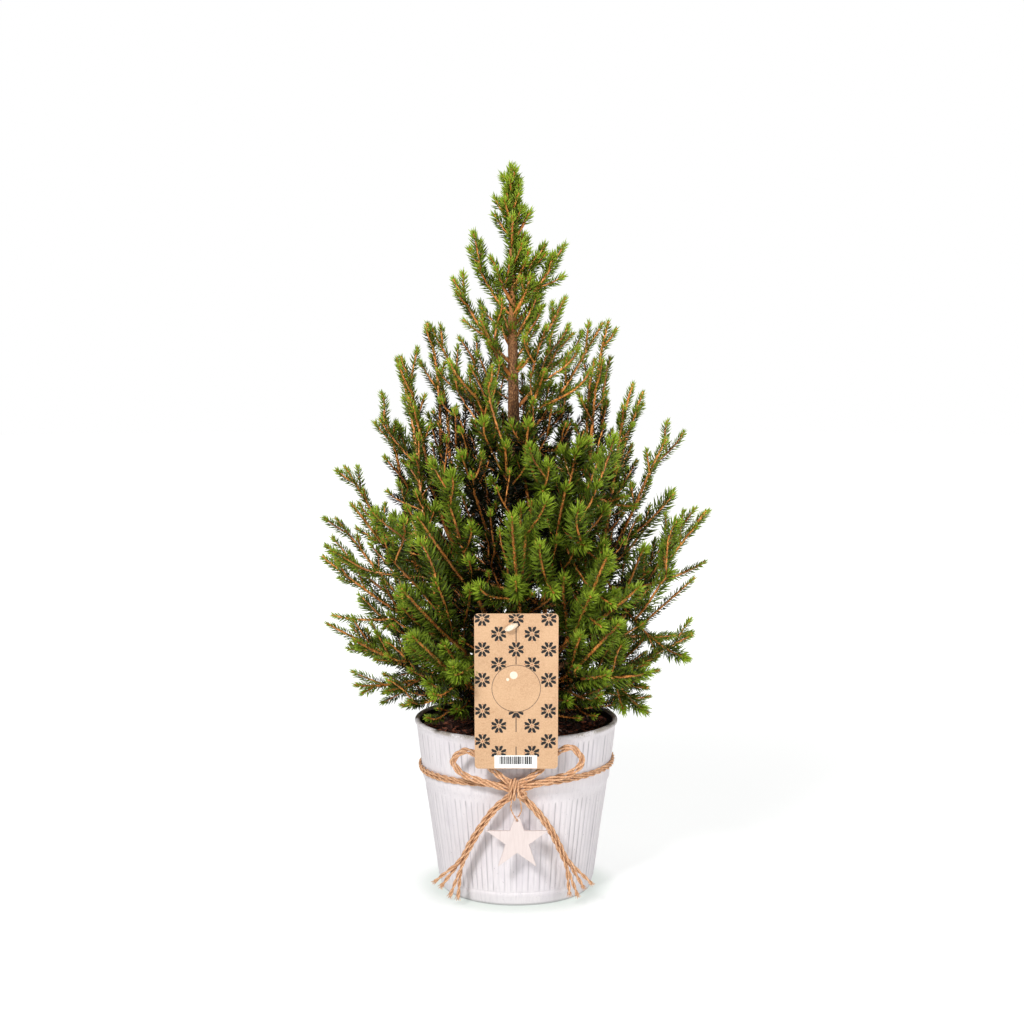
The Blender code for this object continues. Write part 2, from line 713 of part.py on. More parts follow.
def make_tag(card, paper, collection, masses):
    """The card, and the paper tie that goes through it and round a shoot behind it."""
    hole = hole_outline(0, TAG_SLOT_RISE, TAG_SLOT)
    tag = flat_piece("tag", tag_outline(), hole, TAG_THICKNESS, card, collection)
    tag.location = TAG_MIDDLE
    tag.rotation_euler.x = math.pi / 2 + TAG_TILT
    bpy.context.view_layer.update()
    slot = tag.matrix_world @ Vector((0, TAG_SLOT_RISE, 0))
    as_mesh(tag)
    ahead = TAG_THICKNESS / 2 + TIE_RADIUS + GAP
    behind = slot + Vector((0, TAG_ROOM / 2, 0))
    nearest = [surface(mass).find_nearest(behind) for mass in masses.values()]
    seat = min(nearest, key=lambda found: found[3])[0]
    route = (
        slot + Vector((-0.0075, -1.3 * ahead, -0.0030)),
        slot + Vector((-0.0030, -1.5 * ahead, -0.0010)),
        slot + Vector((-0.0004, -0.8 * ahead, 0)),
        slot,
        seat + (behind - seat).normalized() * (TIE_RADIUS / 2 + GAP),
    )
    path = smooth_path(list(route), 11)
    tube("tag_tie", path, [TIE_RADIUS] * len(path), paper, collection, 6)


def main():
    clear_scene()
    tree = new_collection("potted_alberta_spruce")
    cutters = new_collection("cutters")
    zinc = finish("whitewashed zinc", (0.80, 0.77, 0.78), 0.6, 0.1)
    peat = finish("bark and peat", (0.05, 0.022, 0.014), 0.95)
    bark = finish("bark", (0.22, 0.11, 0.05), 0.8)
    needles = finish("needles", (0.07, 0.13, 0.03), 0.6)
    jute = finish("jute", (0.66, 0.42, 0.27), 0.9)
    wood = finish("white painted wood", (0.93, 0.86, 0.84), 0.6)
    card = finish("kraft card", (0.76, 0.48, 0.28), 0.8)
    paper = finish("pale paper", (0.85, 0.72, 0.58), 0.7)
    make_pot(zinc, tree)
    make_soil(peat, tree)
    trunk_tube("trunk", 0, bark, tree)
    bores = [make_bough(name, bark, tree, cutters) for name in LIMBS if name not in BOUGHLESS]
    bores.append(helper(as_mesh(trunk_tube("trunk_room", GAP * 1.5, bark, cutters))))
    bores.append(tag_room(card, cutters))
    masses = make_masses(needles, tree, cutters, bores)
    make_band(jute, tree)
    knot_shape("knot", 0, jute, tree)
    knot_room = helper(knot_shape("knot_room", GAP, jute, cutters))
    make_bow(jute, tree, knot_room)
    make_star(wood, jute, tree, knot_room)
    make_tag(card, paper, tree, masses)


main()
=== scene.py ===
"""A young alberta spruce in a whitewashed zinc pot, with a jute bow, a white star and a card tag.

Metres, +Z up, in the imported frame: the origin is the middle of the pot's underside and the
front faces -Y.
"""

import math
from functools import partialmethod

import bmesh
import bpy
import numpy as np
from mathutils import Matrix, Vector, noise
from mathutils.bvhtree import BVHTree


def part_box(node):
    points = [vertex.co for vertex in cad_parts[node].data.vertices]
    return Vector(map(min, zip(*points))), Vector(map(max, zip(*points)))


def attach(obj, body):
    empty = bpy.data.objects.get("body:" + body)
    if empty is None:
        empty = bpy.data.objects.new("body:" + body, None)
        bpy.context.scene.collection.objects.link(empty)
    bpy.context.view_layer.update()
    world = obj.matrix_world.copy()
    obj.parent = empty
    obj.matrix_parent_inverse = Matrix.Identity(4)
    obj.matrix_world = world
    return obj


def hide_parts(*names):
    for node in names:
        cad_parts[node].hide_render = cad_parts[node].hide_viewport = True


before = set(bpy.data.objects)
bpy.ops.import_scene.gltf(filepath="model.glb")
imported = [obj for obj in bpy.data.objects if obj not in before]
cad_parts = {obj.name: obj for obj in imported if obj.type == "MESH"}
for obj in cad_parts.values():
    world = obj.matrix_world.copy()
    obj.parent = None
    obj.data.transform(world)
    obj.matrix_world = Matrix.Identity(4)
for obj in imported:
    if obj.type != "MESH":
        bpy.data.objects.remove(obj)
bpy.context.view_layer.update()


# ----------------------------------------------------------
# The pot: a drawn zinc bucket with upright flutes pressed into its wall and its collar, a
# rolled rim and a turned-in foot. It is brushed over with whitewash, which is rubbed off
# the rim and left bare inside, and the flute grooves are darkened with painted shade.
# ----------------------------------------------------------
class Flow:
    """A node's output, which can be used in sums like a number."""

    def __init__(self, socket):
        self.socket = socket

    def math(self, operation, other=0.0, turned_round=False):
        values = [other, self] if turned_round else [self, other]
        nodes = Nodes(self.socket.id_data)
        return nodes.add("ShaderNodeMath", {"operation": operation}, dict(enumerate(values)))[0]

    __add__ = __radd__ = partialmethod(math, "ADD")
    __mul__ = __rmul__ = partialmethod(math, "MULTIPLY")
    __sub__ = partialmethod(math, "SUBTRACT")
    __rsub__ = partialmethod(math, "SUBTRACT", turned_round=True)
    __truediv__ = partialmethod(math, "DIVIDE")

    def rises(self, low, high):
        """0 below low, 1 above high, and smooth between them."""
        settings = {"interpolation_type": "SMOOTHSTEP"}
        inputs = {"Value": self, "From Min": low, "From Max": high}
        return Nodes(self.socket.id_data).add("ShaderNodeMapRange", settings, inputs)["Result"]


class Made:
    """A new node, whose outputs are asked for by name or by number."""

    def __init__(self, node):
        self.node = node

    def __getitem__(self, output):
        return Flow(self.node.outputs[output])


class Nodes:
    """Adds nodes to a shader's or a modifier's tree."""

    def __init__(self, tree):
        self.tree = tree

    def put(self, node, socket, value):
        """A value or a link for one of a node's sockets."""
        if isinstance(value, Flow):
            self.tree.links.new(value.socket, node.inputs[socket])
        else:
            node.inputs[socket].default_value = value

    def add(self, kind, settings=None, inputs=None):
        node = self.tree.nodes.new(kind)
        for name, value in (settings or {}).items():
            setattr(node, name, value)
        for name, value in (inputs or {}).items():
            self.put(node, name, value)
        return Made(node)

    def mix(self, share, first, second):
        """The first colour where share is 0 and the second where it is 1."""
        ends = {0: share, 6: first, 7: second}
        return self.add("ShaderNodeMix", {"data_type": "RGBA"}, ends)[2]


class Finish(Nodes):
    """A named material with a Principled shader, and patterns on the piece's own coordinates."""

    def __init__(self, name, colour, roughness, **sockets):
        self.material = bpy.data.materials.new(name)
        self.material.use_nodes = True
        super().__init__(self.material.node_tree)
        self.feed("Base Color", rgb(*colour))
        self.feed("Roughness", roughness)
        for socket, value in sockets.items():
            self.feed(socket.replace("_", " "), value)

    def feed(self, socket, value):
        self.put(self.tree.nodes["Principled BSDF"], socket, value)

    def place(self, stretch=(1, 1, 1)):
        """Object coordinates in metres, stretched along each axis."""
        where = self.add("ShaderNodeTexCoord")["Object"]
        settings = {"vector_type": "TEXTURE"}
        return self.add("ShaderNodeMapping", settings, {"Vector": where, "Scale": stretch})[0]

    def grain(self, size, stretch=(1, 1, 1), detail=3.0):
        """Noise between 0 and 1 whose grains are about size metres across."""
        inputs = {"Vector": self.place(stretch), "Scale": 1 / size, "Detail": detail}
        return self.add("ShaderNodeTexNoise", {}, inputs)["Fac"]

    def stored(self, name):
        """A number kept on the mesh."""
        return self.add("ShaderNodeAttribute", {"attribute_name": name})["Fac"]

    def coats(self, colour, *coats):
        """The colour, with others laid over it one by one, each where its own share says."""
        colour = rgb(*colour)
        for share, over in coats:
            colour = self.mix(share, colour, over if isinstance(over, Flow) else rgb(*over))
        self.feed("Base Color", colour)
        return self

    def relief(self, height, depth):
        """A bump of the given depth in metres."""
        inputs = {"Height": height, "Distance": depth, "Strength": 1.0}
        self.feed("Normal", self.add("ShaderNodeBump", {}, inputs)[0])


def rgb(red, green, blue):
    """A colour as it is seen on a screen, turned into the linear one that a shader takes."""
    seen = (red, green, blue)
    return (*[(c + 0.055) ** 2.4 / 1.055**2.4 if c > 0.04045 else c / 12.92 for c in seen], 1.0)


def placed(name, data):
    """A new object in the scene."""
    thing = bpy.data.objects.new(name, data)
    bpy.context.scene.collection.objects.link(thing)
    return thing


def new_piece(name, points, faces, materials, smooth=True):
    mesh = bpy.data.meshes.new(name)
    mesh.from_pydata([tuple(p) for p in points], [], [tuple(int(i) for i in face) for face in faces])
    mesh.update()
    for finish in materials:
        mesh.materials.append(finish.material)
    mesh.polygons.foreach_set("use_smooth", [smooth] * len(mesh.polygons))
    return placed(name, mesh)


def store(mesh, name, values):
    """Keeps one number for each point of a mesh."""
    mesh.attributes.new(name, "FLOAT", "POINT").data.foreach_set("value", values)


def keep(piece, slot, *nodes):
    """The piece rides on the one body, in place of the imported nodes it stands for."""
    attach(piece, "root")
    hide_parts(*nodes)


def turns(count):
    """Angles spaced evenly round a circle."""
    return [2 * math.pi * i / count for i in range(count)]


def polar(radius, turn, middle=(0, 0)):
    return middle[0] + radius * math.cos(turn), middle[1] + radius * math.sin(turn)


def skin(rows):
    """Faces between rows of points, where a row is a closed ring or a single point."""
    faces = []
    for low, high in zip(rows, rows[1:]):
        around = max(len(low), len(high))
        for j in range(around):
            k = (j + 1) % around
            corners = low[j % len(low)], low[k % len(low)], high[k % len(high)], high[j % len(high)]
            faces.append(tuple(dict.fromkeys(corners)))
    return faces


pot_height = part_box("pot")[1].z
rim_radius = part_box("pot")[1].x
flutes = 88
steps_per_flute = 9
flute_depth = 0.00034
flute_end = 0.0050
groove_sharpness = 7
dent_depth, dents_round, dents_up = 0.0003, 2.2, 26
sheet = 0.0012
rim_roll = 0.0023
foot_radius, foot_roll = 0.0680, 0.0032
foot_bead = ((0.0012, 0.0085), (0.0022, 0.0108), (0.0020, 0.0118))
lower_flutes = (0.0130, 0.0945)
upper_flutes = (0.1205, 0.1462)
wall_heights = (0.0135, 0.0945, 0.0985, 0.1020, 0.1205, 0.1492)
wall_radii = (0.0703, 0.0817, 0.0826, 0.0840, 0.0862, 0.0895)
wall_rows = (
    0.0135, 0.0140, 0.0147, 0.0156, 0.0170, 0.030, 0.050, 0.070, 0.0885, 0.0910, 0.0922, 0.0932,
    0.0940, 0.0945, 0.0965, 0.0985, 0.0995, 0.1020, 0.1040, 0.1120, 0.1205, 0.1210, 0.1217, 0.1226,
    0.1240, 0.1320, 0.1400, 0.1427, 0.1440, 0.1451, 0.1458, 0.1462,
)
inside_rows = (0.1462, 0.1300, 0.1020, 0.0985, 0.0135)


def wall_radius(height):
    return float(np.interp(height, wall_heights, wall_radii))


def fluted(height):
    """How fully the flutes are pressed at a height, rounded off at their ends."""
    share = 0.0
    for low, high in (lower_flutes, upper_flutes):
        end = min(height - low, high - height) / flute_end
        if end > 0:
            share = math.sqrt(1 - (1 - min(end, 1)) ** 2)
    return share


def pot_profile():
    """Rows of (radius, height) from the middle of the underside, up outside and down inside."""
    flat = foot_radius - foot_roll
    rows = [(0.0, 0.0), (0.030, 0.0), (flat, 0.0)]
    rows += [polar(foot_roll, math.radians(turn), (flat, foot_roll)) for turn in (-60, -30, 0)]
    rows += [(foot_radius + out, height) for out, height in foot_bead]
    rows.append((wall_radii[0] - 0.0005, 0.0127))
    rows += [(wall_radius(height), height) for height in wall_rows]
    rolled = rim_radius - rim_roll, pot_height - rim_roll
    rows += [polar(rim_roll, math.radians(turn), rolled) for turn in range(-60, 201, 20)]
    rows += [(wall_radius(height) - sheet, height) for height in inside_rows]
    rows += [(foot_radius - 0.0020, 0.0030), (0.0, 0.0030)]
    return rows


def make_pot(finishes):
    around = flutes * steps_per_flute
    share = (np.arange(around) % steps_per_flute) / steps_per_flute
    pressed_in = np.random.default_rng(7).uniform(0.10, 0.95, flutes + 1)
    pressed_in[-1] = pressed_in[0]
    which = np.arange(around) // steps_per_flute
    strength = np.where(share < 0.5, pressed_in[which], pressed_in[which + 1])
    crown = flute_depth * (np.sin(math.pi * share) ** 0.6 - strength)
    # the grooves' edges get painted shade, darker where a flute is pressed harder
    edge = 1 - np.clip(np.minimum(share, 1 - share) * groove_sharpness, 0, 1)
    points, groove, rows = [], [], []
    profile = pot_profile()
    top = max(range(len(profile)), key=lambda i: profile[i][1])
    for i, (radius, height) in enumerate(profile):
        if radius == 0:
            rows.append([len(points)])
            points.append((0, 0, height))
            groove.append(0.0)
            continue
        pressed = fluted(height)
        spots = [Vector((*polar(dents_round, turn), height * dents_up)) for turn in turns(around)]
        dent = np.array([noise.noise(spot) for spot in spots])
        ring = radius + crown * pressed + dent_depth * dent * (0 < i < top)
        rows.append(list(range(len(points), len(points) + around)))
        points += [(*polar(reach, turn), height) for reach, turn in zip(ring, turns(around))]
        groove += list(pressed * strength * edge)
    piece = new_piece("zinc_pot", points, skin(rows), finishes)
    store(piece.data, "groove", groove)
    bare_from = top + 5
    inside = [int(i >= bare_from) for i in range(len(rows) - 1) for _ in range(around)]
    piece.data.polygons.foreach_set("material_index", inside)
    return piece


def whitewash():
    """Brushed white over grey zinc and rubbed off the rim, with painted shade along the grooves."""
    wash = Finish("whitewashed zinc", (0.93, 0.91, 0.915), 0.62, Metallic=0.0)
    height = wash.add("ShaderNodeSeparateXYZ", {}, {0: wash.place()})["Z"]
    streaks = wash.grain(0.0020, (1, 1, 24), 4.0)
    clouds = wash.grain(0.024, (1, 1, 2.2), 5.0)
    specks = wash.grain(0.0011, (1, 1, 1.5), 2.0)
    fading = wash.grain(0.011, (1, 1, 3), 2.0).rises(0.36, 0.62)
    rim = height.rises(pot_height - 0.0045, pot_height - 0.0010)
    worn = rim * (clouds + specks * 0.6).rises(0.68, 0.95)
    foot = 1 - height.rises(0.001, 0.0035)
    wash.coats(
        (0.885, 0.862, 0.872),
        (streaks.rises(0.40, 0.68) * 0.40, (0.81, 0.785, 0.805)),
        (clouds.rises(0.48, 0.74) * 0.45, (0.79, 0.765, 0.795)),
        # painted shade along the flute grooves
        (wash.stored("groove") * (fading * 0.50 + 0.45), (0.52, 0.49, 0.52)),
        (specks.rises(0.68, 0.76) * 0.7, (0.60, 0.57, 0.59)),
        (worn, (0.60, 0.56, 0.52)),
        (foot * 0.6, (0.62, 0.62, 0.62)),
    )
    wash.feed("Roughness", 0.72 - worn * 0.3)
    wash.relief(streaks * 0.6 + specks * 0.4, 0.00025)
    return wash


def bare_zinc():
    """The dull, stained sheet inside the pot."""
    zinc = Finish("bare zinc", (0.26, 0.23, 0.22), 0.55, Metallic=0.35)
    stains = zinc.grain(0.012, (1, 1, 2.5), 5.0)
    zinc.coats((0.33, 0.30, 0.29), (stains.rises(0.40, 0.70), (0.17, 0.145, 0.135)))
    zinc.relief(stains, 0.0003)
    return zinc


pot = make_pot([whitewash(), bare_zinc()])
keep(pot, "whitewashed_zinc", "pot")


# ----------------------------------------------------------
# The soil: peat pressed down to a low dome a little under the rim, with a loose mulch of
# shredded bark over it, some of it dark and wet and some reddish brown.
# ----------------------------------------------------------
class Recipe(Nodes):
    """A Geometry Nodes tree with named inputs, which ends in real faces with one finish."""

    kinds = {float: "NodeSocketFloat", int: "NodeSocketInt", type(None): "NodeSocketObject"}

    def __init__(self, name, **sizes):
        super().__init__(bpy.data.node_groups.new(name, "GeometryNodeTree"))
        face = self.tree.interface
        face.new_socket("Piece", in_out="INPUT", socket_type="NodeSocketGeometry")
        face.new_socket("Piece", in_out="OUTPUT", socket_type="NodeSocketGeometry")
        face.new_socket("Finish", in_out="INPUT", socket_type="NodeSocketMaterial")
        self.sockets = {"Finish": face.items_tree["Finish"].identifier}
        for size, value in sizes.items():
            socket = face.new_socket(size, in_out="INPUT", socket_type=self.kinds[type(value)])
            if value is not None:
                socket.default_value = value
            self.sockets[size] = socket.identifier
        self.start = self.tree.nodes.new("NodeGroupInput")

    def given(self, name):
        return Flow(self.start.outputs[name])

    def random(self, low, high, seed):
        """A random number for each point."""
        settings = {"data_type": "FLOAT"}
        return self.add("FunctionNodeRandomValue", settings, {2: low, 3: high, "Seed": seed})[1]

    def turn_about(self, axis, angle, rotation):
        """A rotation turned further about one of its own axes."""
        step = self.add("FunctionNodeAxisAngleToRotation", {}, {"Axis": axis, "Angle": angle})[0]
        inputs = {"Rotation": rotation, "Rotate By": step}
        return self.add("FunctionNodeRotateRotation", {"rotation_space": "LOCAL"}, inputs)[0]

    def copies(self, shape, points, rotation, scale):
        """The given shape on each point."""
        part = self.add("GeometryNodeObjectInfo", {}, {"Object": self.given(shape)})["Geometry"]
        inputs = {"Points": points, "Instance": part, "Rotation": rotation, "Scale": scale}
        return self.add("GeometryNodeInstanceOnPoints", {}, inputs)[0]

    def end(self, geometry):
        real = self.add("GeometryNodeRealizeInstances", {}, {0: geometry})[0]
        inputs = {"Geometry": real, "Material": self.given("Finish")}
        dressed = self.add("GeometryNodeSetMaterial", {}, inputs)[0]
        self.put(self.tree.nodes.new("NodeGroupOutput"), 0, dressed)
        return self

    def cook(self, name, base, finish, **sizes):
        """Runs the recipe on a mesh and returns the result as a plain piece."""
        source = placed(name, base)
        step = source.modifiers.new(self.tree.name, "NODES")
        step.node_group = self.tree
        step[self.sockets["Finish"]] = finish.material
        for size, value in sizes.items():
            step[self.sockets[size]] = value
        bpy.context.view_layer.update()
        graph = bpy.context.evaluated_depsgraph_get()
        mesh = bpy.data.meshes.new_from_object(source.evaluated_get(graph))
        bpy.data.objects.remove(source)
        for spent in ("thickness", "share", "size", "ply", "core"):
            if spent in mesh.attributes:
                mesh.attributes.remove(mesh.attributes[spent])
        return placed(name, mesh)


def mesh_of(name, shape):
    """The mesh of an edited shape, which is then let go."""
    mesh = bpy.data.meshes.new(name)
    shape.to_mesh(mesh)
    shape.free()
    return mesh


soil_edge, soil_middle = 0.1458, 0.1476
soil_depth = 0.030
soil_bumps = ((0.0011, 90), (0.0006, 300))
mulch_rise, mulch_inset = 0.0012, 0.0060
wall_gap = 0.0001
soil_radius = wall_radius(soil_edge) - sheet - wall_gap


def make_soil(finish):
    """A bumpy disc of peat with a plain side and underside, hidden by the pot."""
    around, out = 96, 22
    points = [(0, 0, soil_middle)]
    for i in range(1, out + 1):
        for turn in turns(around):
            spot = Vector((*polar(soil_radius * i / out, turn), 0))
            rise = soil_middle + (soil_edge - soil_middle) * (i / out) ** 2
            rise += sum(height * noise.noise(spot * pitch) for height, pitch in soil_bumps)
            points.append((spot.x, spot.y, rise))
    lower = soil_edge - soil_depth
    narrow = wall_radius(lower) - sheet - wall_gap
    points += [(*polar(narrow, turn), lower) for turn in turns(around)]
    rings = [[1 + around * i + j for j in range(around)] for i in range(out + 1)]
    faces = [(0, 1 + j, 1 + (j + 1) % around) for j in range(around)]
    for inner, outer in zip(rings, rings[1:]):
        faces += [(inner[j - 1], outer[j - 1], outer[j], inner[j]) for j in range(around)]
    faces.append(tuple(reversed(rings[-1])))
    return new_piece("peat", points, faces, [finish])


def wood_chip(seed):
    """A torn sliver of bark, about one unit long."""
    spread = np.random.default_rng(seed).normal(size=(9, 3)) * (0.30, 0.13, 0.07)
    shape = bmesh.new()
    for spot in spread:
        shape.verts.new(spot)
    hull = bmesh.ops.convex_hull(shape, input=shape.verts[:])
    inside = [v for v in hull["geom_interior"] if isinstance(v, bmesh.types.BMVert)]
    bmesh.ops.delete(shape, geom=inside)
    return bpy.data.objects.new("chip", mesh_of("chip", shape))


def mulch_recipe():
    recipe = Recipe("bark mulch", Chip=None, Count=600.0, Shortest=0.004, Longest=0.009, Seed=1)
    seed = recipe.given("Seed")
    spots = {"Mesh": recipe.given("Piece"), "Density": recipe.given("Count"), "Seed": seed}
    points = recipe.add("GeometryNodeDistributePointsOnFaces", {}, spots)
    turned = recipe.turn_about((0, 0, 1), recipe.random(0.0, 6.283, seed), points["Rotation"])
    turned = recipe.turn_about((0, 1, 0), recipe.random(-0.55, 0.55, seed + 1), turned)
    turned = recipe.turn_about((1, 0, 0), recipe.random(-1.2, 1.2, seed + 2), turned)
    length = recipe.random(recipe.given("Shortest"), recipe.given("Longest"), seed + 3)
    return recipe.end(recipe.copies("Chip", points["Points"], turned, length))


def top_of_soil():
    """The face that the mulch lies on, clear of the pot's wall."""
    disc = bmesh.new()
    bmesh.ops.create_circle(disc, cap_ends=True, segments=48, radius=soil_radius - mulch_inset)
    bmesh.ops.translate(disc, vec=(0, 0, soil_edge + mulch_rise), verts=disc.verts)
    return mesh_of("soil top", disc)


def bark_brown(name, dark, light):
    brown = Finish(name, dark, 0.85)
    grain = brown.grain(0.0011)
    patches = brown.grain(0.006, detail=2.0)
    brown.coats(dark, ((grain * 0.5 + patches * 0.5).rises(0.36, 0.62), light))
    brown.relief(grain, 0.0003)
    return brown


peat = make_soil(bark_brown("peat", (0.10, 0.06, 0.045), (0.20, 0.13, 0.10)))
keep(peat, "bark_mulch", "soil")
mulch = mulch_recipe()
mulch_kinds = (
    ("mulch_dark", (0.13, 0.065, 0.045), (0.32, 0.18, 0.13), 62000.0, 0.006, 0.012),
    ("mulch_red", (0.38, 0.18, 0.11), (0.66, 0.39, 0.28), 40000.0, 0.005, 0.013),
    ("mulch_pale", (0.42, 0.30, 0.24), (0.62, 0.50, 0.43), 3500.0, 0.004, 0.008),
)
for number, (name, dark, light, count, shortest, longest) in enumerate(mulch_kinds):
    chip = wood_chip(number + 4)
    finish = bark_brown(name.replace("_", " "), dark, light)
    sizes = {"Count": count, "Shortest": shortest, "Longest": longest}
    keep(mulch.cook(name, top_of_soil(), finish, Chip=chip, Seed=11 * number, **sizes), "bark_mulch")
    bpy.data.objects.remove(chip)


# ----------------------------------------------------------
# The trunk: one thin brown stem, swollen where it enters the peat and drawn out to the
# leader's tip. Its bark is scaly and ridged, cracked lengthwise and round old bud scars.
# ----------------------------------------------------------
def merged(node):
    """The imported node's mesh, copied with its loose triangles joined."""
    shape = bmesh.new()
    shape.from_mesh(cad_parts[node].data)
    bmesh.ops.remove_doubles(shape, verts=shape.verts, dist=1e-5)
    return shape


def spots_of(node):
    shape = merged(node)
    spots = [v.co.copy() for v in shape.verts]
    shape.free()
    return spots


def middles_and_radii(rings):
    middles = [sum(ring, Vector()) / len(ring) for ring in rings]
    radii = [sum((s - m).length for s in ring) / len(ring) for ring, m in zip(rings, middles)]
    return middles, radii


def smooth_line(spots, widths, step):
    """Points about step apart on a smooth curve through the spots, with their widths."""
    spots = [np.array(spot) for spot in spots]
    lengths = [np.linalg.norm(b - a) for a, b in zip(spots, spots[1:])]
    along = np.concatenate([[0], np.cumsum(lengths)])
    count = max(3, int(round(along[-1] / step)) + 1)
    slopes = np.gradient(np.array(spots), along, axis=0)
    points, sizes = [], []
    for reach in np.linspace(0, along[-1], count):
        i = min(max(int(np.searchsorted(along, reach)) - 1, 0), len(spots) - 2)
        gap = along[i + 1] - along[i]
        t = (reach - along[i]) / gap
        a, b = 2 * t**3 - 3 * t**2 + 1, t**3 - 2 * t**2 + t
        c, d = 3 * t**2 - 2 * t**3, t**3 - t**2
        spot = a * spots[i] + b * gap * slopes[i] + c * spots[i + 1] + d * gap * slopes[i + 1]
        points.append(Vector(spot))
        sizes.append(float(np.interp(reach, along, widths)))
    return points, sizes


def heading_at(line, i):
    return (line[min(i + 1, len(line) - 1)] - line[max(i - 1, 0)]).normalized()


def closed_skin(rings):
    return skin(rings) + [rings[0][::-1], rings[-1]]


ridges_across, ridges_along = 420, 150
scales_across, scales_along, scale_share = 900, 500, 0.6


def bark_tube(line, radii, around, relief, seed):
    """A closed, ridged tube of bark: returns its points and faces."""
    points = []
    lies_along_x = abs((line[-1] - line[0]).normalized().x) >= 0.8
    side = Vector((0, 1, 0)) if lies_along_x else Vector((1, 0, 0))
    for i, (middle, radius) in enumerate(zip(line, radii)):
        heading = heading_at(line, i)
        side = (side - heading * side.dot(heading)).normalized()
        across = heading.cross(side)
        for turn in turns(around):
            outward = side * math.cos(turn) + across * math.sin(turn)
            spot = middle + outward * radius
            ridge = Vector((spot.x * ridges_across + seed, spot.y * ridges_across, spot.z * ridges_along))
            scale = Vector((spot.x * scales_across, spot.y * scales_across + seed, spot.z * scales_along))
            rough = noise.noise(ridge) + scale_share * noise.noise(scale)
            points.append(middle + outward * radius * (1 + relief * rough))
    rings = [list(range(around * i, around * (i + 1))) for i in range(len(line))]
    return points, closed_skin(rings)


def bark_finish():
    """Grey-brown scales with dark cracks low down, smoother and orange towards the leader."""
    bark = Finish("spruce bark", (0.45, 0.31, 0.19), 0.75)
    young = bark.add("ShaderNodeSeparateXYZ", {}, {0: bark.place()})["Z"].rises(0.46, 0.54)
    scales = bark.add("ShaderNodeTexVoronoi", {"feature": "DISTANCE_TO_EDGE"},
                      {"Vector": bark.place((1, 1, 2.2)), "Scale": 700.0})["Distance"]
    grain = bark.grain(0.0012, (1, 1, 3), 4.0)
    patches = bark.grain(0.009, (1, 1, 2), 2.0)
    bark.coats(
        (0.54, 0.35, 0.20),
        (grain.rises(0.35, 0.68), (0.78, 0.56, 0.36)),
        (patches.rises(0.45, 0.70) * 0.5, (0.55, 0.42, 0.30)),
        ((1 - scales.rises(0.02, 0.14)) * 0.75, (0.25, 0.15, 0.09)),
        (young * 0.85, bark.mix(grain, rgb(0.58, 0.35, 0.16), rgb(0.80, 0.54, 0.29))),
    )
    bark.relief((scales.rises(0.0, 0.25) + grain * 0.5) * (1 - young * 0.6), 0.0006)
    return bark


trunk_rings = {}
for spot in spots_of("trunk"):
    trunk_rings.setdefault(round(spot.z / 0.0005), []).append(spot)
trunk_rings = [ring for _, ring in sorted(trunk_rings.items()) if len(ring) >= 6]
trunk_middles, trunk_widths = middles_and_radii(trunk_rings)


def trunk_at(height):
    """Where the middle of the trunk is at a height."""
    xs, ys, heights = zip(*trunk_middles)
    return Vector((np.interp(height, heights, xs), np.interp(height, heights, ys), height))


bark = bark_finish()
trunk_line = smooth_line(trunk_middles, trunk_widths, 0.0022)
trunk = new_piece("trunk_bark", *bark_tube(*trunk_line, 20, 0.10, 3), [bark])
keep(trunk, "bark", "trunk")


# ----------------------------------------------------------
# The limbs: woody side branches in rough whorls, each as thick as a pencil lead to a
# pencil, leaving the trunk nearly level and turning up. They grow from the trunk itself.
# ----------------------------------------------------------
def limb_line(node, rings=5):
    """A limb's middles and radii, from its points sorted away from the trunk."""
    spots = sorted(spots_of(node), key=lambda s: (s - trunk_at(s.z)).length + 0.3 * (s.z - 0.2))
    size = len(spots) / rings
    return middles_and_radii([spots[round(size * i):round(size * (i + 1))] for i in range(rings)])


limb_nodes = sorted(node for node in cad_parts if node.startswith("bough_"))
limb_lines = {}
limb_points, limb_faces = [], []
for number, node in enumerate(limb_nodes):
    limb_lines[node.removeprefix("bough_")] = middles, radii = limb_line(node)
    points, faces = bark_tube(*smooth_line(middles, radii, 0.0030), 12, 0.12, number)
    limb_faces += [[i + len(limb_points) for i in face] for face in faces]
    limb_points += points
limbs = new_piece("limb_bark", limb_points, limb_faces, [bark])
keep(limbs, "bark", *limb_nodes)


# ----------------------------------------------------------
# The shoots: orange-brown twigs that grow on from the limbs. Each limb runs on to its few
# leading tips, side shoots leave it at about half a right angle and turn up, and shorter
# ones leave those, each where there is still room. A scaly bud closes every tip.
# ----------------------------------------------------------
chance = np.random.default_rng(2024)
step = 0.005
golden_turn = 2.39996
up = Vector((0, 0, 1))
thin_above = 0.485
main_shoot, side_shoot, core_shoot = 0, 1, 2

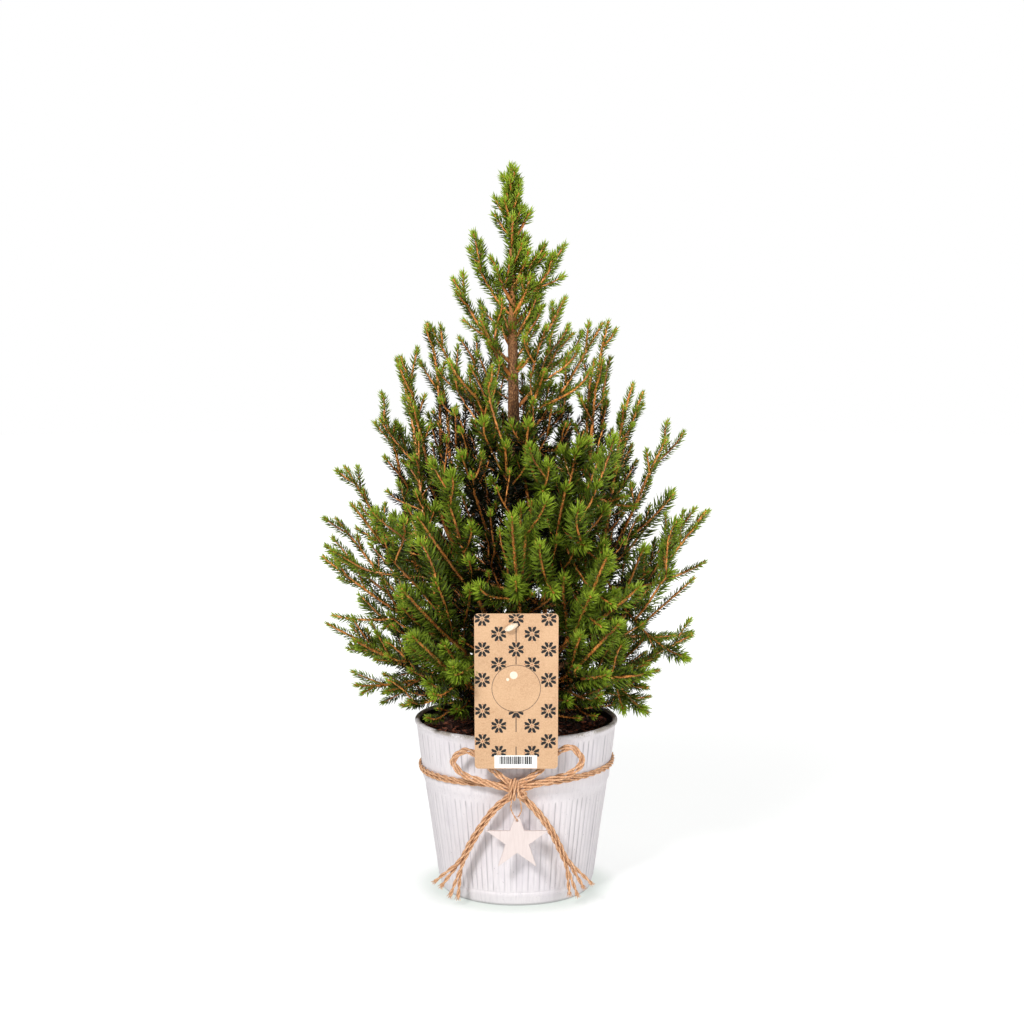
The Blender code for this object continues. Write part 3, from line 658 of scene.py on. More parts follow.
# where the main tips stand: to the right, to the back and up, in millimetres
main_tips = (
    (4, -110, 355), (-10, -81, 408), (11, -70, 425), (54, -79, 409), (-48, -80, 398), (-59, -100, 362),
    (-85, -90, 346), (-98, -110, 287), (-54, -130, 273), (-92, -120, 244), (-52, -140, 216), (-31, -130, 295),
    (59, -120, 318), (80, -110, 301), (80, -120, 269), (71, -130, 251), (31, -139, 281), (108, -50, 345),
    (42, -101, 373), (26, -45, 468), (-38, -45, 450), (-33, -30, 512), (-20, 20, 520), (26, 15, 536),
    (15, -22, 550), (13, -15, 573), (-20, -14, 558), (-22, 5, 620), (-44, 5, 576), (-58, -15, 548),
    (-80, 15, 509), (-106, -10, 479), (-121, 20, 430), (-156, 10, 382), (-146, -35, 352), (-149, 30, 323),
    (-163, -20, 300), (-170, 15, 243), (-145, -45, 191), (-122, -30, 178), (15, -6, 607), (28, 6, 579),
    (46, -14, 532), (50, 20, 506), (79, -10, 510), (85, 25, 480), (103, -20, 457), (107, 30, 401),
    (133, -25, 409), (164, 15, 344), (171, -15, 297), (165, 25, 227), (154, -40, 207), (116, -50, 162),
)


def level(value, spans, results):
    """Straight lines between the results, flat beyond them."""
    return float(np.interp(value, spans, results))


def strayed(heading, most, *pulls):
    """A heading pulled aside and shaken a little."""
    for pull in pulls:
        heading = heading + pull
    return (heading + Vector(chance.normal(0, most, 3))).normalized()


class Mass:
    """The room that one limb's foliage fills."""

    def __init__(self, node):
        shape = merged(node)
        shape.normal_update()
        self.spots = [v.co.copy() for v in shape.verts]
        self.lowest = min(spot.z for spot in self.spots)
        self.tree = BVHTree.FromBMesh(shape)
        self.aims = []
        shape.free()

    def depth(self, spot):
        """How far inside the surface a spot is, negative outside."""
        near, normal, _, gap = self.tree.find_nearest(spot)
        return gap if (near - spot).dot(normal) > 0 else -gap


def deepest(spot):
    """The mass that a spot is deepest inside."""
    return max(masses.values(), key=lambda mass: mass.depth(spot))


crown = [node for node in sorted(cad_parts) if node.startswith("foliage_")]
masses = {node.removeprefix("foliage_"): Mass(node) for node in crown}
leader = masses["leader"]
crown_heights = np.arange(0.150, 0.660, 0.015)
crown_spots = [spot for mass in masses.values() for spot in mass.spots]
band_half, least_reach = 0.02, 0.008
crown_reach = []
for height in crown_heights:
    near = [(s - trunk_at(s.z)).length for s in crown_spots if abs(s.z - height) < band_half]
    crown_reach.append(max(near or [least_reach]))
card_low, card_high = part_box("tag")
card_room = 0.011


def outwards(spot):
    """How far out in the crown a spot is: 0 at the trunk, 1 at the outermost tips."""
    flat = spot - trunk_at(spot.z)
    return math.hypot(flat.x, 1.2 * flat.y) / level(spot.z, crown_heights, crown_reach)


def upswept(spot):
    """Which way a shoot points once it is at a spot: level low down, almost upright high up."""
    tilt = level(spot.z, (0.17, 0.22, 0.28, 0.34, 0.42, 0.50, 0.60), (76, 60, 46, 36, 27, 24, 18))
    outward = spot - trunk_at(spot.z)
    outward.z = 0
    return outward.normalized() * math.sin(math.radians(tilt)) + up * math.cos(math.radians(tilt))


def at_the_card(spot):
    """Whether needles round a spot would touch the card tag or hang in front of it."""
    beside = card_low[0] - card_room < spot.x < card_high[0] + card_room
    level_with = card_low[2] - 0.02 < spot.z < card_high[2] + 0.006
    return beside and level_with and spot.y < card_high[1] + 0.012


def before_the_trunk(spot):
    """Whether a spot hides the bare middle of the trunk, which shows between the front shoots."""
    behind = trunk_at(spot.z)
    return 0.430 < spot.z < 0.510 and spot.y < behind.y - 0.006 and abs(spot.x - behind.x) < 0.010


def hides(spot):
    return at_the_card(spot) or before_the_trunk(spot)


def arch(foot, leaving, tip, arriving, bow=0.38):
    """A curve from the foot to the tip, with the headings that it leaves and arrives with."""
    span = (tip - foot).length
    a, b = foot + leaving * span * bow, tip - arriving * span * bow
    count = max(3, int(round(span / step)) + 1)
    return [foot * (1 - t) ** 3 + a * 3 * t * (1 - t) ** 2 + b * 3 * t * t * (1 - t) + tip * t**3
            for t in np.linspace(0, 1, count)]


class Thicket:
    """All the shoots so far, and the room that is left between them."""

    def __init__(self):
        self.shoots = []
        self.tips = np.full((1, 3), 9.0)
        self.points = np.full((1, 3), 9.0)

    def tips_away(self, spot, room):
        return float(((self.tips - np.array(spot)) ** 2).sum(axis=1).min()) > room**2

    def has_room(self, spots, room):
        ways = np.array(spots)[:, None, :] - self.points[None, :, :]
        return float((ways**2).sum(axis=2).min()) > room**2

    def add(self, line, thick, thin, rank, mass):
        shoot = {"line": line, "thick": thick, "thin": thin, "rank": rank, "mass": mass}
        self.shoots.append(shoot)
        self.tips = np.vstack([self.tips, np.array(line[-1])])
        self.points = np.vstack([self.points, np.array(line[1:])])
        return shoot


def leading_tips(mass, foot, most):
    """What a mass's main shoots reach for: its own aims, then its outlying corners, well apart."""
    tips = sorted(mass.aims, key=lambda s: -(s - foot).length)
    far = sorted(mass.spots, key=lambda s: -(s - foot).length - 0.35 * (s.z - foot.z))
    reach = (far[0] - foot).length
    for spot in far:
        if (spot - foot).length < 0.55 * reach or len(tips) >= most:
            break
        if all((spot - tip).length > 0.030 for tip in tips):
            tips.append(spot)
    return tips


def grow_leaders(thicket, mass, foot, leaving, thick, most):
    """From a limb's end, one long shoot to each leading tip, forking near the limb."""
    main = None
    for tip in leading_tips(mass, foot, most):
        inner = tip - (tip - foot).normalized() * 0.006
        start, off, width = foot, leaving, min(thick, 0.0019)
        if main:
            start = main["line"][int(len(main["line"]) * chance.uniform(0.10, 0.32))]
            off = ((inner - start).normalized() + leaving * 0.5).normalized()
            width = min(thick, 0.0015)
        straight = (inner - start).normalized()
        for aside in (0.0, 0.006, 0.012, 0.018):
            inner.x += math.copysign(aside, inner.x)
            line = arch(start, off, inner, (straight * 1.6 + upswept(tip)).normalized())
            if not any(at_the_card(spot) for spot in line):
                made = thicket.add(line, width, 0.0009, main_shoot, mass)
                main = main or made
                break


def grow_off_trunk(thicket, mass, tip):
    """A thin shoot straight off the trunk, steeply up to a tip."""
    reach = (tip - trunk_at(tip.z)).length
    root = trunk_at(max(mass.lowest - 0.010, tip.z - reach * chance.uniform(1.25, 1.65)))
    straight = (tip - root).normalized()
    flat = Vector((straight.x, straight.y, 0)).normalized()
    leaving = (straight + flat * 0.4).normalized()
    line = arch(root, leaving, tip - straight * 0.007, (straight * 1.5 + upswept(tip)).normalized())
    if sum(before_the_trunk(spot) for spot in line) < 3:
        thicket.add(line, 0.0013, 0.0008, main_shoot, mass)


def side_twigs(thicket, shoot, gap, lengths, bare_end, angles, room, thick):
    """Twigs that fork off a shoot at golden-angle turns, each until it meets another."""
    line = shoot["line"]
    turn = chance.uniform(0, 6.28)
    along = chance.uniform(0.4, 1.0) * gap + 0.010
    while along < step * (len(line) - 1) - bare_end:
        i = int(along / step)
        heading = heading_at(line, i)
        turn += golden_turn
        side = heading.orthogonal().normalized()
        outward = side * math.cos(turn) + heading.cross(side) * math.sin(turn)
        angle = math.radians(chance.uniform(*angles))
        way = (heading * math.cos(angle) + outward * math.sin(angle) + up * 0.15).normalized()
        twig = [line[i]]
        for j in range(int(chance.uniform(*lengths) / step)):
            way = strayed(way, 0.03, heading * 0.06, up * 0.04)
            spot = twig[-1] + way * step
            inside = shoot["mass"].depth(spot) > -0.012 or outwards(spot) < 0.8
            if not inside or hides(spot) or (j > 1 and not thicket.has_room([spot], room)):
                break
            twig.append(spot)
        if len(twig) > 3:
            thicket.add(twig, thick, thick * 0.75, side_shoot, shoot["mass"])
        along += gap * chance.uniform(0.75, 1.25)


def grow_up_trunk(thicket):
    """Short steep shoots at golden-angle turns, all the way up the trunk's thin top."""
    turn = 0.0
    for height in np.arange(0.446, 0.632, 0.0036):
        turn += golden_turn
        leaving = math.radians(chance.uniform(28, 46))
        heading = Vector((*polar(1, turn), 1 / math.tan(leaving))).normalized()
        longest = level(height, (0.45, 0.50, 0.58, 0.632), (0.062, 0.052, 0.029, 0.013))
        foot = trunk_at(height)
        home = deepest(foot + heading * longest * 0.6)
        line = [foot]
        for i in range(int(longest * chance.uniform(0.75, 1.05) / step)):
            heading = strayed(heading, 0.03, up * 0.06)
            spot = line[-1] + heading * step
            in_the_way = i > 1 and before_the_trunk(spot)
            crowded = i > 2 and not thicket.has_room([spot], 0.0055)
            if home.depth(spot) < -0.006 or in_the_way or crowded:
                break
            line.append(spot)
        if len(line) >= 3:
            thicket.add(line, 0.0009, 0.0007, side_shoot, home)


def fill_layer(thicket, where, rank, sizes, tries, low, high):
    """Shoots to spots that are still free, each off the older shoot that lies best below it."""
    feet = [(shoot, i) for shoot in thicket.shoots for i in range(1, len(shoot["line"]) - 1)]
    spots = np.array([shoot["line"][i] for shoot, i in feet])
    for _ in range(tries):
        tip = Vector(chance.uniform(low, high))
        share = level(tip.z, (0.27, 0.42), (0, 1))
        room, shortest, longest, thick = [a + (b - a) * share for a, b in sizes]
        if not where(tip) or at_the_card(tip) or not thicket.tips_away(tip, room):
            continue
        aim = strayed(upswept(tip), 0.11)
        ways = np.array(tip) - spots
        lengths = np.maximum(np.linalg.norm(ways, axis=1), 1e-6)
        rises = ways @ np.array(aim) / lengths
        fits = (lengths > shortest) & (lengths < longest) & (rises > 0.85)
        if not fits.any():
            continue
        best = int(np.where(fits, lengths * (4 - 3 * rises), np.inf).argmin())
        shoot, i = feet[best]
        foot = shoot["line"][i]
        straight = (tip - foot).normalized()
        leaving = (straight * 1.6 + heading_at(shoot["line"], i) * 0.3 - aim * 0.5).normalized()
        line = arch(foot, leaving, tip, aim, 0.36)
        outer_half = line[len(line) // 2:]
        if any(hides(spot) for spot in line) or not thicket.has_room(outer_half, room * 0.5):
            continue
        made = thicket.add(line, thick, thick * 0.8, rank, shoot["mass"])
        feet += [(made, j) for j in range(1, len(line) - 1)]
        spots = np.vstack([spots, np.array(line[1:-1])])


def in_outer_shell(spot):
    return outwards(spot) > 0.66 and any(0 < mass.depth(spot) < 0.012 for mass in masses.values())


def in_core(spot):
    return 0.16 < outwards(spot) < 0.86 - 0.90 * (spot.z - 0.17)


def grow_main_shoots(thicket):
    """The leader, then each mass's main shoots, off its limb or straight off the trunk."""
    turned = [(-x, -0.95 * y, z) for x, y, z in main_tips if y < -60]
    for place in (*main_tips, *turned):
        tip = Vector(place) / 1000
        deepest(tip).aims.append(tip)
    for name, mass in masses.items():
        if mass is leader:
            line = [trunk_at(height) for height in np.arange(0.5115, 0.6420, step)]
            thicket.add(line, 0.0012, 0.0008, main_shoot, mass)
        thin_tips = [tip for tip in mass.aims if tip.z > thin_above]
        mass.aims = [tip for tip in mass.aims if tip.z <= thin_above]
        for tip in thin_tips:
            grow_off_trunk(thicket, mass, tip)
        if name in limb_lines:
            middles, radii = limb_lines[name]
            leaving = (middles[-1] - middles[-2]).normalized()
            most = max(1 if thin_tips else 4, len(mass.aims))
            grow_leaders(thicket, mass, middles[-1], leaving, radii[-1], most)
        elif mass is not leader and not thin_tips:
            for tip in leading_tips(mass, trunk_at(mass.lowest), 3):
                grow_off_trunk(thicket, mass, tip)


def clothe(thicket, shoot):
    """A main shoot's side twigs: few and long on the low front shoots, many and short elsewhere."""
    end = shoot["line"][-1]
    if end.z > 0.40 or abs(end.y) <= 0.055:
        side_twigs(thicket, shoot, gap=0.0110, lengths=(0.016, level(end.z, (0.44, 0.55), (0.038, 0.028))),
                   bare_end=0.010, angles=(32, 52), room=0.0070, thick=0.0008)
    else:
        side_twigs(thicket, shoot, gap=0.0150, lengths=(0.040, 0.070),
                   bare_end=0.055, angles=(35, 52), room=0.0120, thick=0.0010)


def grow_crown():
    thicket = Thicket()
    grow_main_shoots(thicket)
    main_shoots = thicket.shoots[1:]
    grow_up_trunk(thicket)
    for shoot in main_shoots:
        clothe(thicket, shoot)
    for name in limb_lines:
        if name in masses:
            line = smooth_line(*limb_lines[name], step)[0]
            limb = {"line": line[len(line) // 2:], "mass": masses[name]}
            side_twigs(thicket, limb, gap=0.0080, lengths=(0.030, 0.055),
                       bare_end=0.0, angles=(38, 70), room=0.0085, thick=0.0009)
    # room round a tip, shortest, longest and thickness, each low down and high up
    shell = ((0.0255, 0.0190), (0.045, 0.024), (0.090, 0.062), (0.0010, 0.0008))
    core = ((0.0195, 0.0175), (0.022, 0.018), (0.070, 0.055), (0.0009, 0.0007))
    low, high = Vector((-0.172, -0.150, 0.150)), Vector((0.172, 0.160, 0.600))
    fill_layer(thicket, in_outer_shell, side_shoot, shell, 40000, low, high)
    low, high = Vector((-0.12, -0.12, 0.165)), Vector((0.12, 0.12, 0.55))
    fill_layer(thicket, in_core, core_shoot, core, 18000, low, high)
    return thicket


def twig_mesh(lines):
    """Edges that follow the shoots, with the share along each, its radius and its needles' size."""
    points, edges = [], []
    kept = {"share": [], "thickness": [], "size": []}
    for line, radii, shares, size in lines:
        edges += [(i, i + 1) for i in range(len(points), len(points) + len(line) - 1)]
        points += [tuple(p) for p in line]
        for name, ends in (("share", shares), ("thickness", radii), ("size", (size, size))):
            kept[name] += list(ends if len(ends) == len(line) else np.linspace(*ends, len(line)))
    mesh = bpy.data.meshes.new("twigs")
    mesh.from_pydata(points, edges, [])
    for name, values in kept.items():
        store(mesh, name, values)
    return mesh


class LineRecipe(Recipe):
    """A recipe that follows the piece's edges."""

    def stored(self, name, kind="FLOAT"):
        """A number or a place kept on each point."""
        return self.add("GeometryNodeInputNamedAttribute", {"data_type": kind}, {"Name": name})[0]

    def curves(self):
        return self.add("GeometryNodeMeshToCurve", {}, {"Mesh": self.given("Piece")})[0]

    def swept(self, curve, radius, **inputs):
        """A round bar along each curve."""
        circle = {"Resolution": self.given("Sides"), "Radius": radius}
        inputs["Profile Curve"] = self.add("GeometryNodeCurvePrimitiveCircle", {}, circle)[0]
        inputs.update({"Curve": curve, "Fill Caps": True})
        return self.add("GeometryNodeCurveToMesh", {}, inputs)[0]

    def spaced(self, spacing):
        """Points a given distance apart along the edges."""
        inputs = {"Curve": self.curves(), "Length": self.given(spacing)}
        return self.add("GeometryNodeCurveToPoints", {"mode": "LENGTH"}, inputs)

    def facing(self, direction):
        """A rotation that points along a direction."""
        inputs = {"Vector": direction}
        return self.add("FunctionNodeAlignRotationToVector", {"axis": "Z"}, inputs)[0]


def stem_recipe():
    """A round bar along each edge line, as thick as its points say."""
    recipe = LineRecipe("stems", Sides=6)
    return recipe.end(recipe.swept(recipe.curves(), 1.0, Scale=recipe.stored("thickness")))


def budded(shoot):
    """The shoot's line and radii, run on over the small bud at its tip."""
    line = shoot["line"]
    heading = heading_at(line, len(line) - 1)
    stoutness = level(line[-1].z, (0.38, 0.46), (1.10, 1.32))
    radii = list(stoutness * np.linspace(shoot["thick"], shoot["thin"], len(line)))
    bud = [(0.0007, 1.25), (0.0018, 1.15), (0.0027, 0.40)]
    return (line + [line[-1] + heading * ahead for ahead, _ in bud],
            radii + [stoutness * shoot["thin"] * swell for _, swell in bud], (0, 1), 1)


thicket = grow_crown()

twig = Finish("orange twig", (0.70, 0.42, 0.18), 0.42)
twig_grain = twig.grain(0.0022, (1, 1, 2))
twig_patches = twig.grain(0.03, detail=2.0)
twig.coats(
    (0.74, 0.42, 0.17),
    (twig_grain.rises(0.35, 0.65), (0.95, 0.64, 0.32)),
    (twig_patches.rises(0.45, 0.70) * 0.7, (0.50, 0.28, 0.12)),
)
twig.relief(twig_grain, 0.0002)

stems = stem_recipe()
keep(stems.cook("twigs", twig_mesh([budded(s) for s in thicket.shoots]), twig), "bark", *crown)


# ----------------------------------------------------------
# The needles: short, stiff and pointed, set all round each shoot like a bottle brush and
# leaning towards its tip, where they close up in a lighter tuft. They grow from the stems.
# ----------------------------------------------------------
def needle_shape(length, width, bend):
    """A pointed blade of three sides, thickest near its middle and bent towards +Y."""
    points = [(0, 0, 0), (0, 0.6 * bend, length)]
    points += [(*polar(0.5 * width, turn, (0, -0.4 * bend)), 0.45 * length) for turn in turns(3)]
    faces = [face for a, b in ((2, 3), (3, 4), (4, 2)) for face in ((0, b, a), (1, a, b))]
    mesh = bpy.data.meshes.new("needle")
    mesh.from_pydata(points, [], faces)
    # 0 at the base, 1 at the tip: drives the painted shade at each needle's base
    store(mesh, "tipward", (0.0, 1.0, 0.45, 0.45, 0.45))
    return bpy.data.objects.new("needle", mesh)


def needle_recipe():
    """Needles along edges, a set distance apart, leaning more and more towards the tip."""
    recipe = LineRecipe("needles", Needle=None, Spacing=0.0005, Foot_lean=1.0, Tip_lean=0.8,
                        Foot_size=1.0, Tip_size=0.8, Spread=0.14, Seed=1)
    seed, spread = recipe.given("Seed"), recipe.given("Spread")
    along = recipe.spaced("Spacing")
    share = recipe.stored("share")
    index = recipe.add("GeometryNodeInputIndex")[0]
    lean = recipe.given("Foot_lean") * (1 - share) + recipe.given("Tip_lean") * share
    size = recipe.given("Foot_size") * (1 - share) + recipe.given("Tip_size") * share
    size = recipe.stored("size") * size * recipe.random(0.84, 1.10, seed + 3)
    facing = recipe.facing(along["Tangent"])
    round_stem = index * golden_turn + recipe.random(-0.5, 0.5, seed)
    facing = recipe.turn_about((0, 0, 1), round_stem, facing)
    off_stem = lean + recipe.random(spread * -1, spread, seed + 1)
    facing = recipe.turn_about((1, 0, 0), off_stem, facing)
    facing = recipe.turn_about((0, 0, 1), recipe.random(-0.6, 0.6, seed + 2), facing)
    return recipe.end(recipe.copies("Needle", along["Points"], facing, size))


def needle_finish(name, colour, dark, light):
    """A satin green in patches, with painted shade towards each needle's base."""
    leaf = Finish(name, colour, 0.36, Specular_IOR_Level=0.18)
    patches = leaf.grain(0.016, detail=2.0)
    fine = leaf.grain(0.0018, detail=1.0)
    share = (patches * 0.4 + fine * 0.4 + leaf.stored("tipward") * 0.35).rises(0.36, 0.74)
    return leaf.coats(dark, (share, light))


def exposed(spot):
    """How much of the light reaches a spot, which is nearly all of it round the thin top."""
    return max(outwards(spot), level(spot.z, (0.34, 0.47), (0, 0.85)))


# the needle greens are lit and shaded copies of one green: painted shade inside the crown and on core shoots,
# painted light on the outer and top shoots; the lighter tips are partly young growth
tints = {
    "deep": ((0.045, 0.06, 0.01), (0.022, 0.03, 0.005), (0.08, 0.10, 0.015)),
    "mid": ((0.18, 0.24, 0.04), (0.07, 0.10, 0.01), (0.32, 0.39, 0.09)),
    "fresh": ((0.27, 0.36, 0.06), (0.13, 0.18, 0.02), (0.48, 0.57, 0.16)),
    "tip": ((0.46, 0.57, 0.12), (0.33, 0.43, 0.07), (0.61, 0.70, 0.21)),
}
# how the needles stand on the darkest painted-shade stretches inside the crown, along an outer shoot, near
# its tip and at it
stands = {
    "deep": {"Foot_lean": 1.12, "Tip_lean": 0.90, "Tip_size": 1.0, "Spacing": 0.00055},
    "body": {"Foot_lean": 1.12, "Tip_lean": 0.95, "Tip_size": 1.0, "Spacing": 0.00043},
    "neck": {"Foot_lean": 0.98, "Tip_lean": 0.80, "Tip_size": 0.94, "Spacing": 0.00036},
    "tuft": {"Foot_lean": 0.80, "Tip_lean": 0.36, "Tip_size": 1.0, "Spacing": 0.00018, "Spread": 0.26},
}
needle_shapes = {
    "long": needle_shape(0.0136, 0.00155, 0.0020),
    "short": needle_shape(0.0080, 0.00140, 0.0009),
    "long tuft": needle_shape(0.0102, 0.00145, 0.0),
    "short tuft": needle_shape(0.0068, 0.00115, 0.0),
}
most_needles = 31000
bare_foot = 3


def tint_and_stand(light, ahead):
    """The tint, which paints light and shade, and the stand of needles on a stretch of shoot: from its light,
    and how many stretches lie ahead of it.
    """
    if ahead == 0:
        tint = "tip" if light > 0.40 else "fresh" if light > 0.30 else "mid"
        return tint, "tuft"
    tint = "deep" if light < 0.44 else "mid" if light < 0.65 else "fresh"
    if ahead < 3 and light > 0.30:
        return tint, "neck"
    return tint, "deep" if tint == "deep" else "body"


dealt = {}
for shoot in thicket.shoots:
    line = shoot["line"]
    last = len(line) - 1
    whole = np.linspace(0, 1, len(line))
    tip = line[-1]
    low_front = abs(tip.y) > 0.052 and tip.z < 0.43
    kind = "long" if low_front and shoot["rank"] != core_shoot else "short"
    size = 1.0 if kind == "long" else level(tip.z, (0.51, 0.58), (0.90, 1.22))
    size *= chance.uniform(0.94, 1.06)
    own_light = chance.normal(0, 0.06) + (0.12, 0.04, -0.06)[shoot["rank"]]
    first = bare_foot if shoot["rank"] == main_shoot and shoot["mass"] is not leader else 0
    kinds = []
    for i in range(first, last):
        # painted light and shade: brighter out in the crown and towards a shoot's tip, darker deep inside
        light = exposed(line[i]) * 0.85 - (last - i) * step * 1.6 + own_light
        kinds.append((*tint_and_stand(light, last - 1 - i), kind))
    start = 0
    for i in range(1, len(kinds) + 1):
        if i == len(kinds) or kinds[i] != kinds[start]:
            low, high = first + start, first + i
            shares = (whole[low], whole[high]) if kinds[start][1] in ("body", "deep") else (0, 1)
            dealt.setdefault(kinds[start], []).append((line[low:high + 1], (0, 0), shares, size))
            start = i

needles = needle_recipe()
finishes = {tint: needle_finish("needles " + tint, *colours) for tint, colours in tints.items()}
for number, ((tint, stand, kind), lines) in enumerate(sorted(dealt.items())):
    settings = dict(stands[stand])
    settings["Spacing"] *= 1.12 if kind == "short" else 1.0
    length = sum((b - a).length for line, _, _, _ in lines for a, b in zip(line, line[1:]))
    parts = max(1, math.ceil(length / settings["Spacing"] / most_needles))
    settings["Needle"] = needle_shapes[kind + " tuft" if stand == "tuft" else kind]
    order = chance.permutation(len(lines))
    for part in range(parts):
        base = twig_mesh([lines[i] for i in order[part::parts]])
        name = f"needles_{kind}_{stand}_{tint}_{part + 1}"
        settings["Seed"] = 7 * number + 31 * part
        keep(needles.cook(name, base, finishes[tint], **settings), "needles", *crown)
for needle in needle_shapes.values():
    bpy.data.objects.remove(needle)


# ----------------------------------------------------------
# The jute: soft two-ply twine about 3 mm thick. Two turns lie one on the other round the
# pot and are tied at the front in a bow of doubled twine, with four frayed ends hanging.
# ----------------------------------------------------------
def vectors(recipe, operation, first, second):
    inputs = {0: first, "Scale" if operation == "SCALE" else 1: second}
    return recipe.add("ShaderNodeVectorMath", {"operation": operation}, inputs)


def marked(recipe, geometry, name, value, kind="FLOAT", domain="POINT"):
    """The geometry with a value kept on each of its points or curves."""
    inputs = {"Geometry": geometry, "Name": name, "Value": value}
    settings = {"data_type": kind, "domain": domain}
    return recipe.add("GeometryNodeStoreNamedAttribute", settings, inputs)[0]


def rope_recipe():
    """Plies wound round each edge line, like the strands of a rope."""
    recipe = LineRecipe("twine", Thickness=0.0029, Pitch=0.0085, Plies=2, Step=0.0009, Sides=7)
    thickness, plies = recipe.given("Thickness"), recipe.given("Plies")
    inputs = {"Curve": recipe.curves(), "Length": recipe.given("Step")}
    curve = recipe.add("GeometryNodeResampleCurve", {"mode": "LENGTH"}, inputs)[0]
    inputs = {"Geometry": curve, "Amount": plies}
    copies = recipe.add("GeometryNodeDuplicateElements", {"domain": "SPLINE"}, inputs)
    lines = marked(recipe, copies["Geometry"], "ply", copies["Duplicate Index"], domain="CURVE")
    length = recipe.add("GeometryNodeSplineParameter")["Length"]
    angle = (length / recipe.given("Pitch") + recipe.stored("ply") / plies) * 6.28319
    normal = recipe.add("GeometryNodeInputNormal")[0]
    tangent = recipe.add("GeometryNodeInputTangent")[0]
    place = recipe.add("GeometryNodeInputPosition")[0]
    lines = marked(recipe, lines, "core", place, "FLOAT_VECTOR")
    across = vectors(recipe, "CROSS_PRODUCT", tangent, normal)[0]
    off = thickness * 0.25
    aside = vectors(recipe, "SCALE", normal, angle.math("COSINE") * off)[0]
    over = vectors(recipe, "SCALE", across, angle.math("SINE") * off)[0]
    inputs = {"Geometry": lines, "Offset": vectors(recipe, "ADD", aside, over)[0]}
    wound = recipe.add("GeometryNodeSetPosition", {}, inputs)[0]
    bars = recipe.swept(wound, thickness * 0.27)
    core = recipe.stored("core", "FLOAT_VECTOR")
    out = vectors(recipe, "DISTANCE", place, core)["Value"]
    # distance from the twine's middle, kept for the painted shade between the plies
    return recipe.end(marked(recipe, bars, "lay", out / thickness))


def fuzz_recipe():
    """Loose fibres that stand off the twine and lean along it."""
    recipe = LineRecipe("loose fibres", Hair=None, Spacing=0.0012, Seed=5)
    seed = recipe.given("Seed")
    along = recipe.spaced("Spacing")
    facing = recipe.facing(along["Tangent"])
    facing = recipe.turn_about((0, 0, 1), recipe.random(0.0, 6.283, seed), facing)
    facing = recipe.turn_about((1, 0, 0), recipe.random(0.35, 1.15, seed + 1), facing)
    size = recipe.random(0.55, 1.0, seed + 2)
    return recipe.end(recipe.copies("Hair", along["Points"], facing, size))


def jute_finish():
    """Golden tan fibre, with painted shade between the plies, and streaked along them."""
    jute = Finish("jute twine", (0.84, 0.62, 0.43), 0.85)
    fibres = jute.grain(0.0006, (1, 1, 2.2))
    patches = jute.grain(0.005, detail=2.0)
    jute.coats(
        (0.76, 0.54, 0.38),
        (fibres.rises(0.32, 0.66), (0.94, 0.77, 0.61)),
        (patches.rises(0.42, 0.68) * 0.40, (0.73, 0.51, 0.35)),
        # painted shade in the valleys between the plies
        ((1 - jute.stored("lay").rises(0.20, 0.42)) * 0.42, (0.50, 0.32, 0.19)),
    )
    jute.relief(fibres, 0.0004)
    return jute


def path(knots, step=0.003):
    """A smooth line through given points."""
    return smooth_line([Vector(k) for k in knots], [1] * len(knots), step)[0]


def beside(line, gap):
    """The same line moved sideways, square to itself and to the front."""
    back = Vector((0, 1, 0))
    return [spot + heading_at(line, i).cross(back).normalized() * gap for i, spot in enumerate(line)]


def looped(line):
    """Edges for a closed ring."""
    mesh = bpy.data.meshes.new("ring")
    edges = [(i, (i + 1) % len(line)) for i in range(len(line))]
    mesh.from_pydata([tuple(p) for p in line], edges, [])
    return mesh


def joined(name, pieces):
    """One smooth piece made of several."""
    shape = bmesh.new()
    for piece in pieces:
        # loose fibres get an even middle value of the painted ply shade
        if "lay" not in piece.data.attributes:
            store(piece.data, "lay", [0.5] * len(piece.data.vertices))
        shape.from_mesh(piece.data)
    mesh = mesh_of(name, shape)
    mesh.materials.append(pieces[0].data.materials[0])
    for piece in pieces:
        bpy.data.objects.remove(piece)
    return placed(name, mesh)


jute = jute_finish()
rope = rope_recipe()
fuzz = fuzz_recipe()
hair = needle_shape(0.0042, 0.00016, 0.0008)
hair.data.attributes.remove(hair.data.attributes["tipward"])
twine_size = 0.0032
half_gap = 0.00135


def twine(name, lines, node, closed=False, thickness=twine_size, hair_gap=0.0011):
    """Twine along each line, with loose fibres."""
    made = []
    for number, line in enumerate(lines):
        base = looped(line) if closed else twig_mesh([(line, (1, 1), (0, 1), 1)])
        sizes = {"Thickness": thickness, "Pitch": thickness * 6.0, "Step": thickness * 0.22}
        made.append(rope.cook("strand", base.copy(), jute, **sizes))
        sizes = {"Hair": hair, "Spacing": hair_gap, "Seed": 13 * number + 1}
        made.append(fuzz.cook("fibres", base, jute, **sizes))
    piece = joined(name, made)
    piece.data.polygons.foreach_set("use_smooth", [True] * len(piece.data.polygons))
    keep(piece, "jute", node)


band_heights = [spot.z for spot in spots_of("band")]
band_height = sum(band_heights) / len(band_heights)
band_tilt, band_waver, band_gap = 0.0026, 0.0003, 0.0014


def band_line(rise):
    """One turn round the pot, just off its wall."""
    line = []
    for turn in turns(120):
        height = band_height + band_tilt * math.cos(turn) + rise
        height += band_waver * math.sin(5 * turn + rise * 900)
        line.append(Vector((*polar(wall_radius(height) + band_gap, turn), height)))
    return line


twine("twine_band", [band_line(-half_gap), band_line(half_gap)], "band", closed=True)

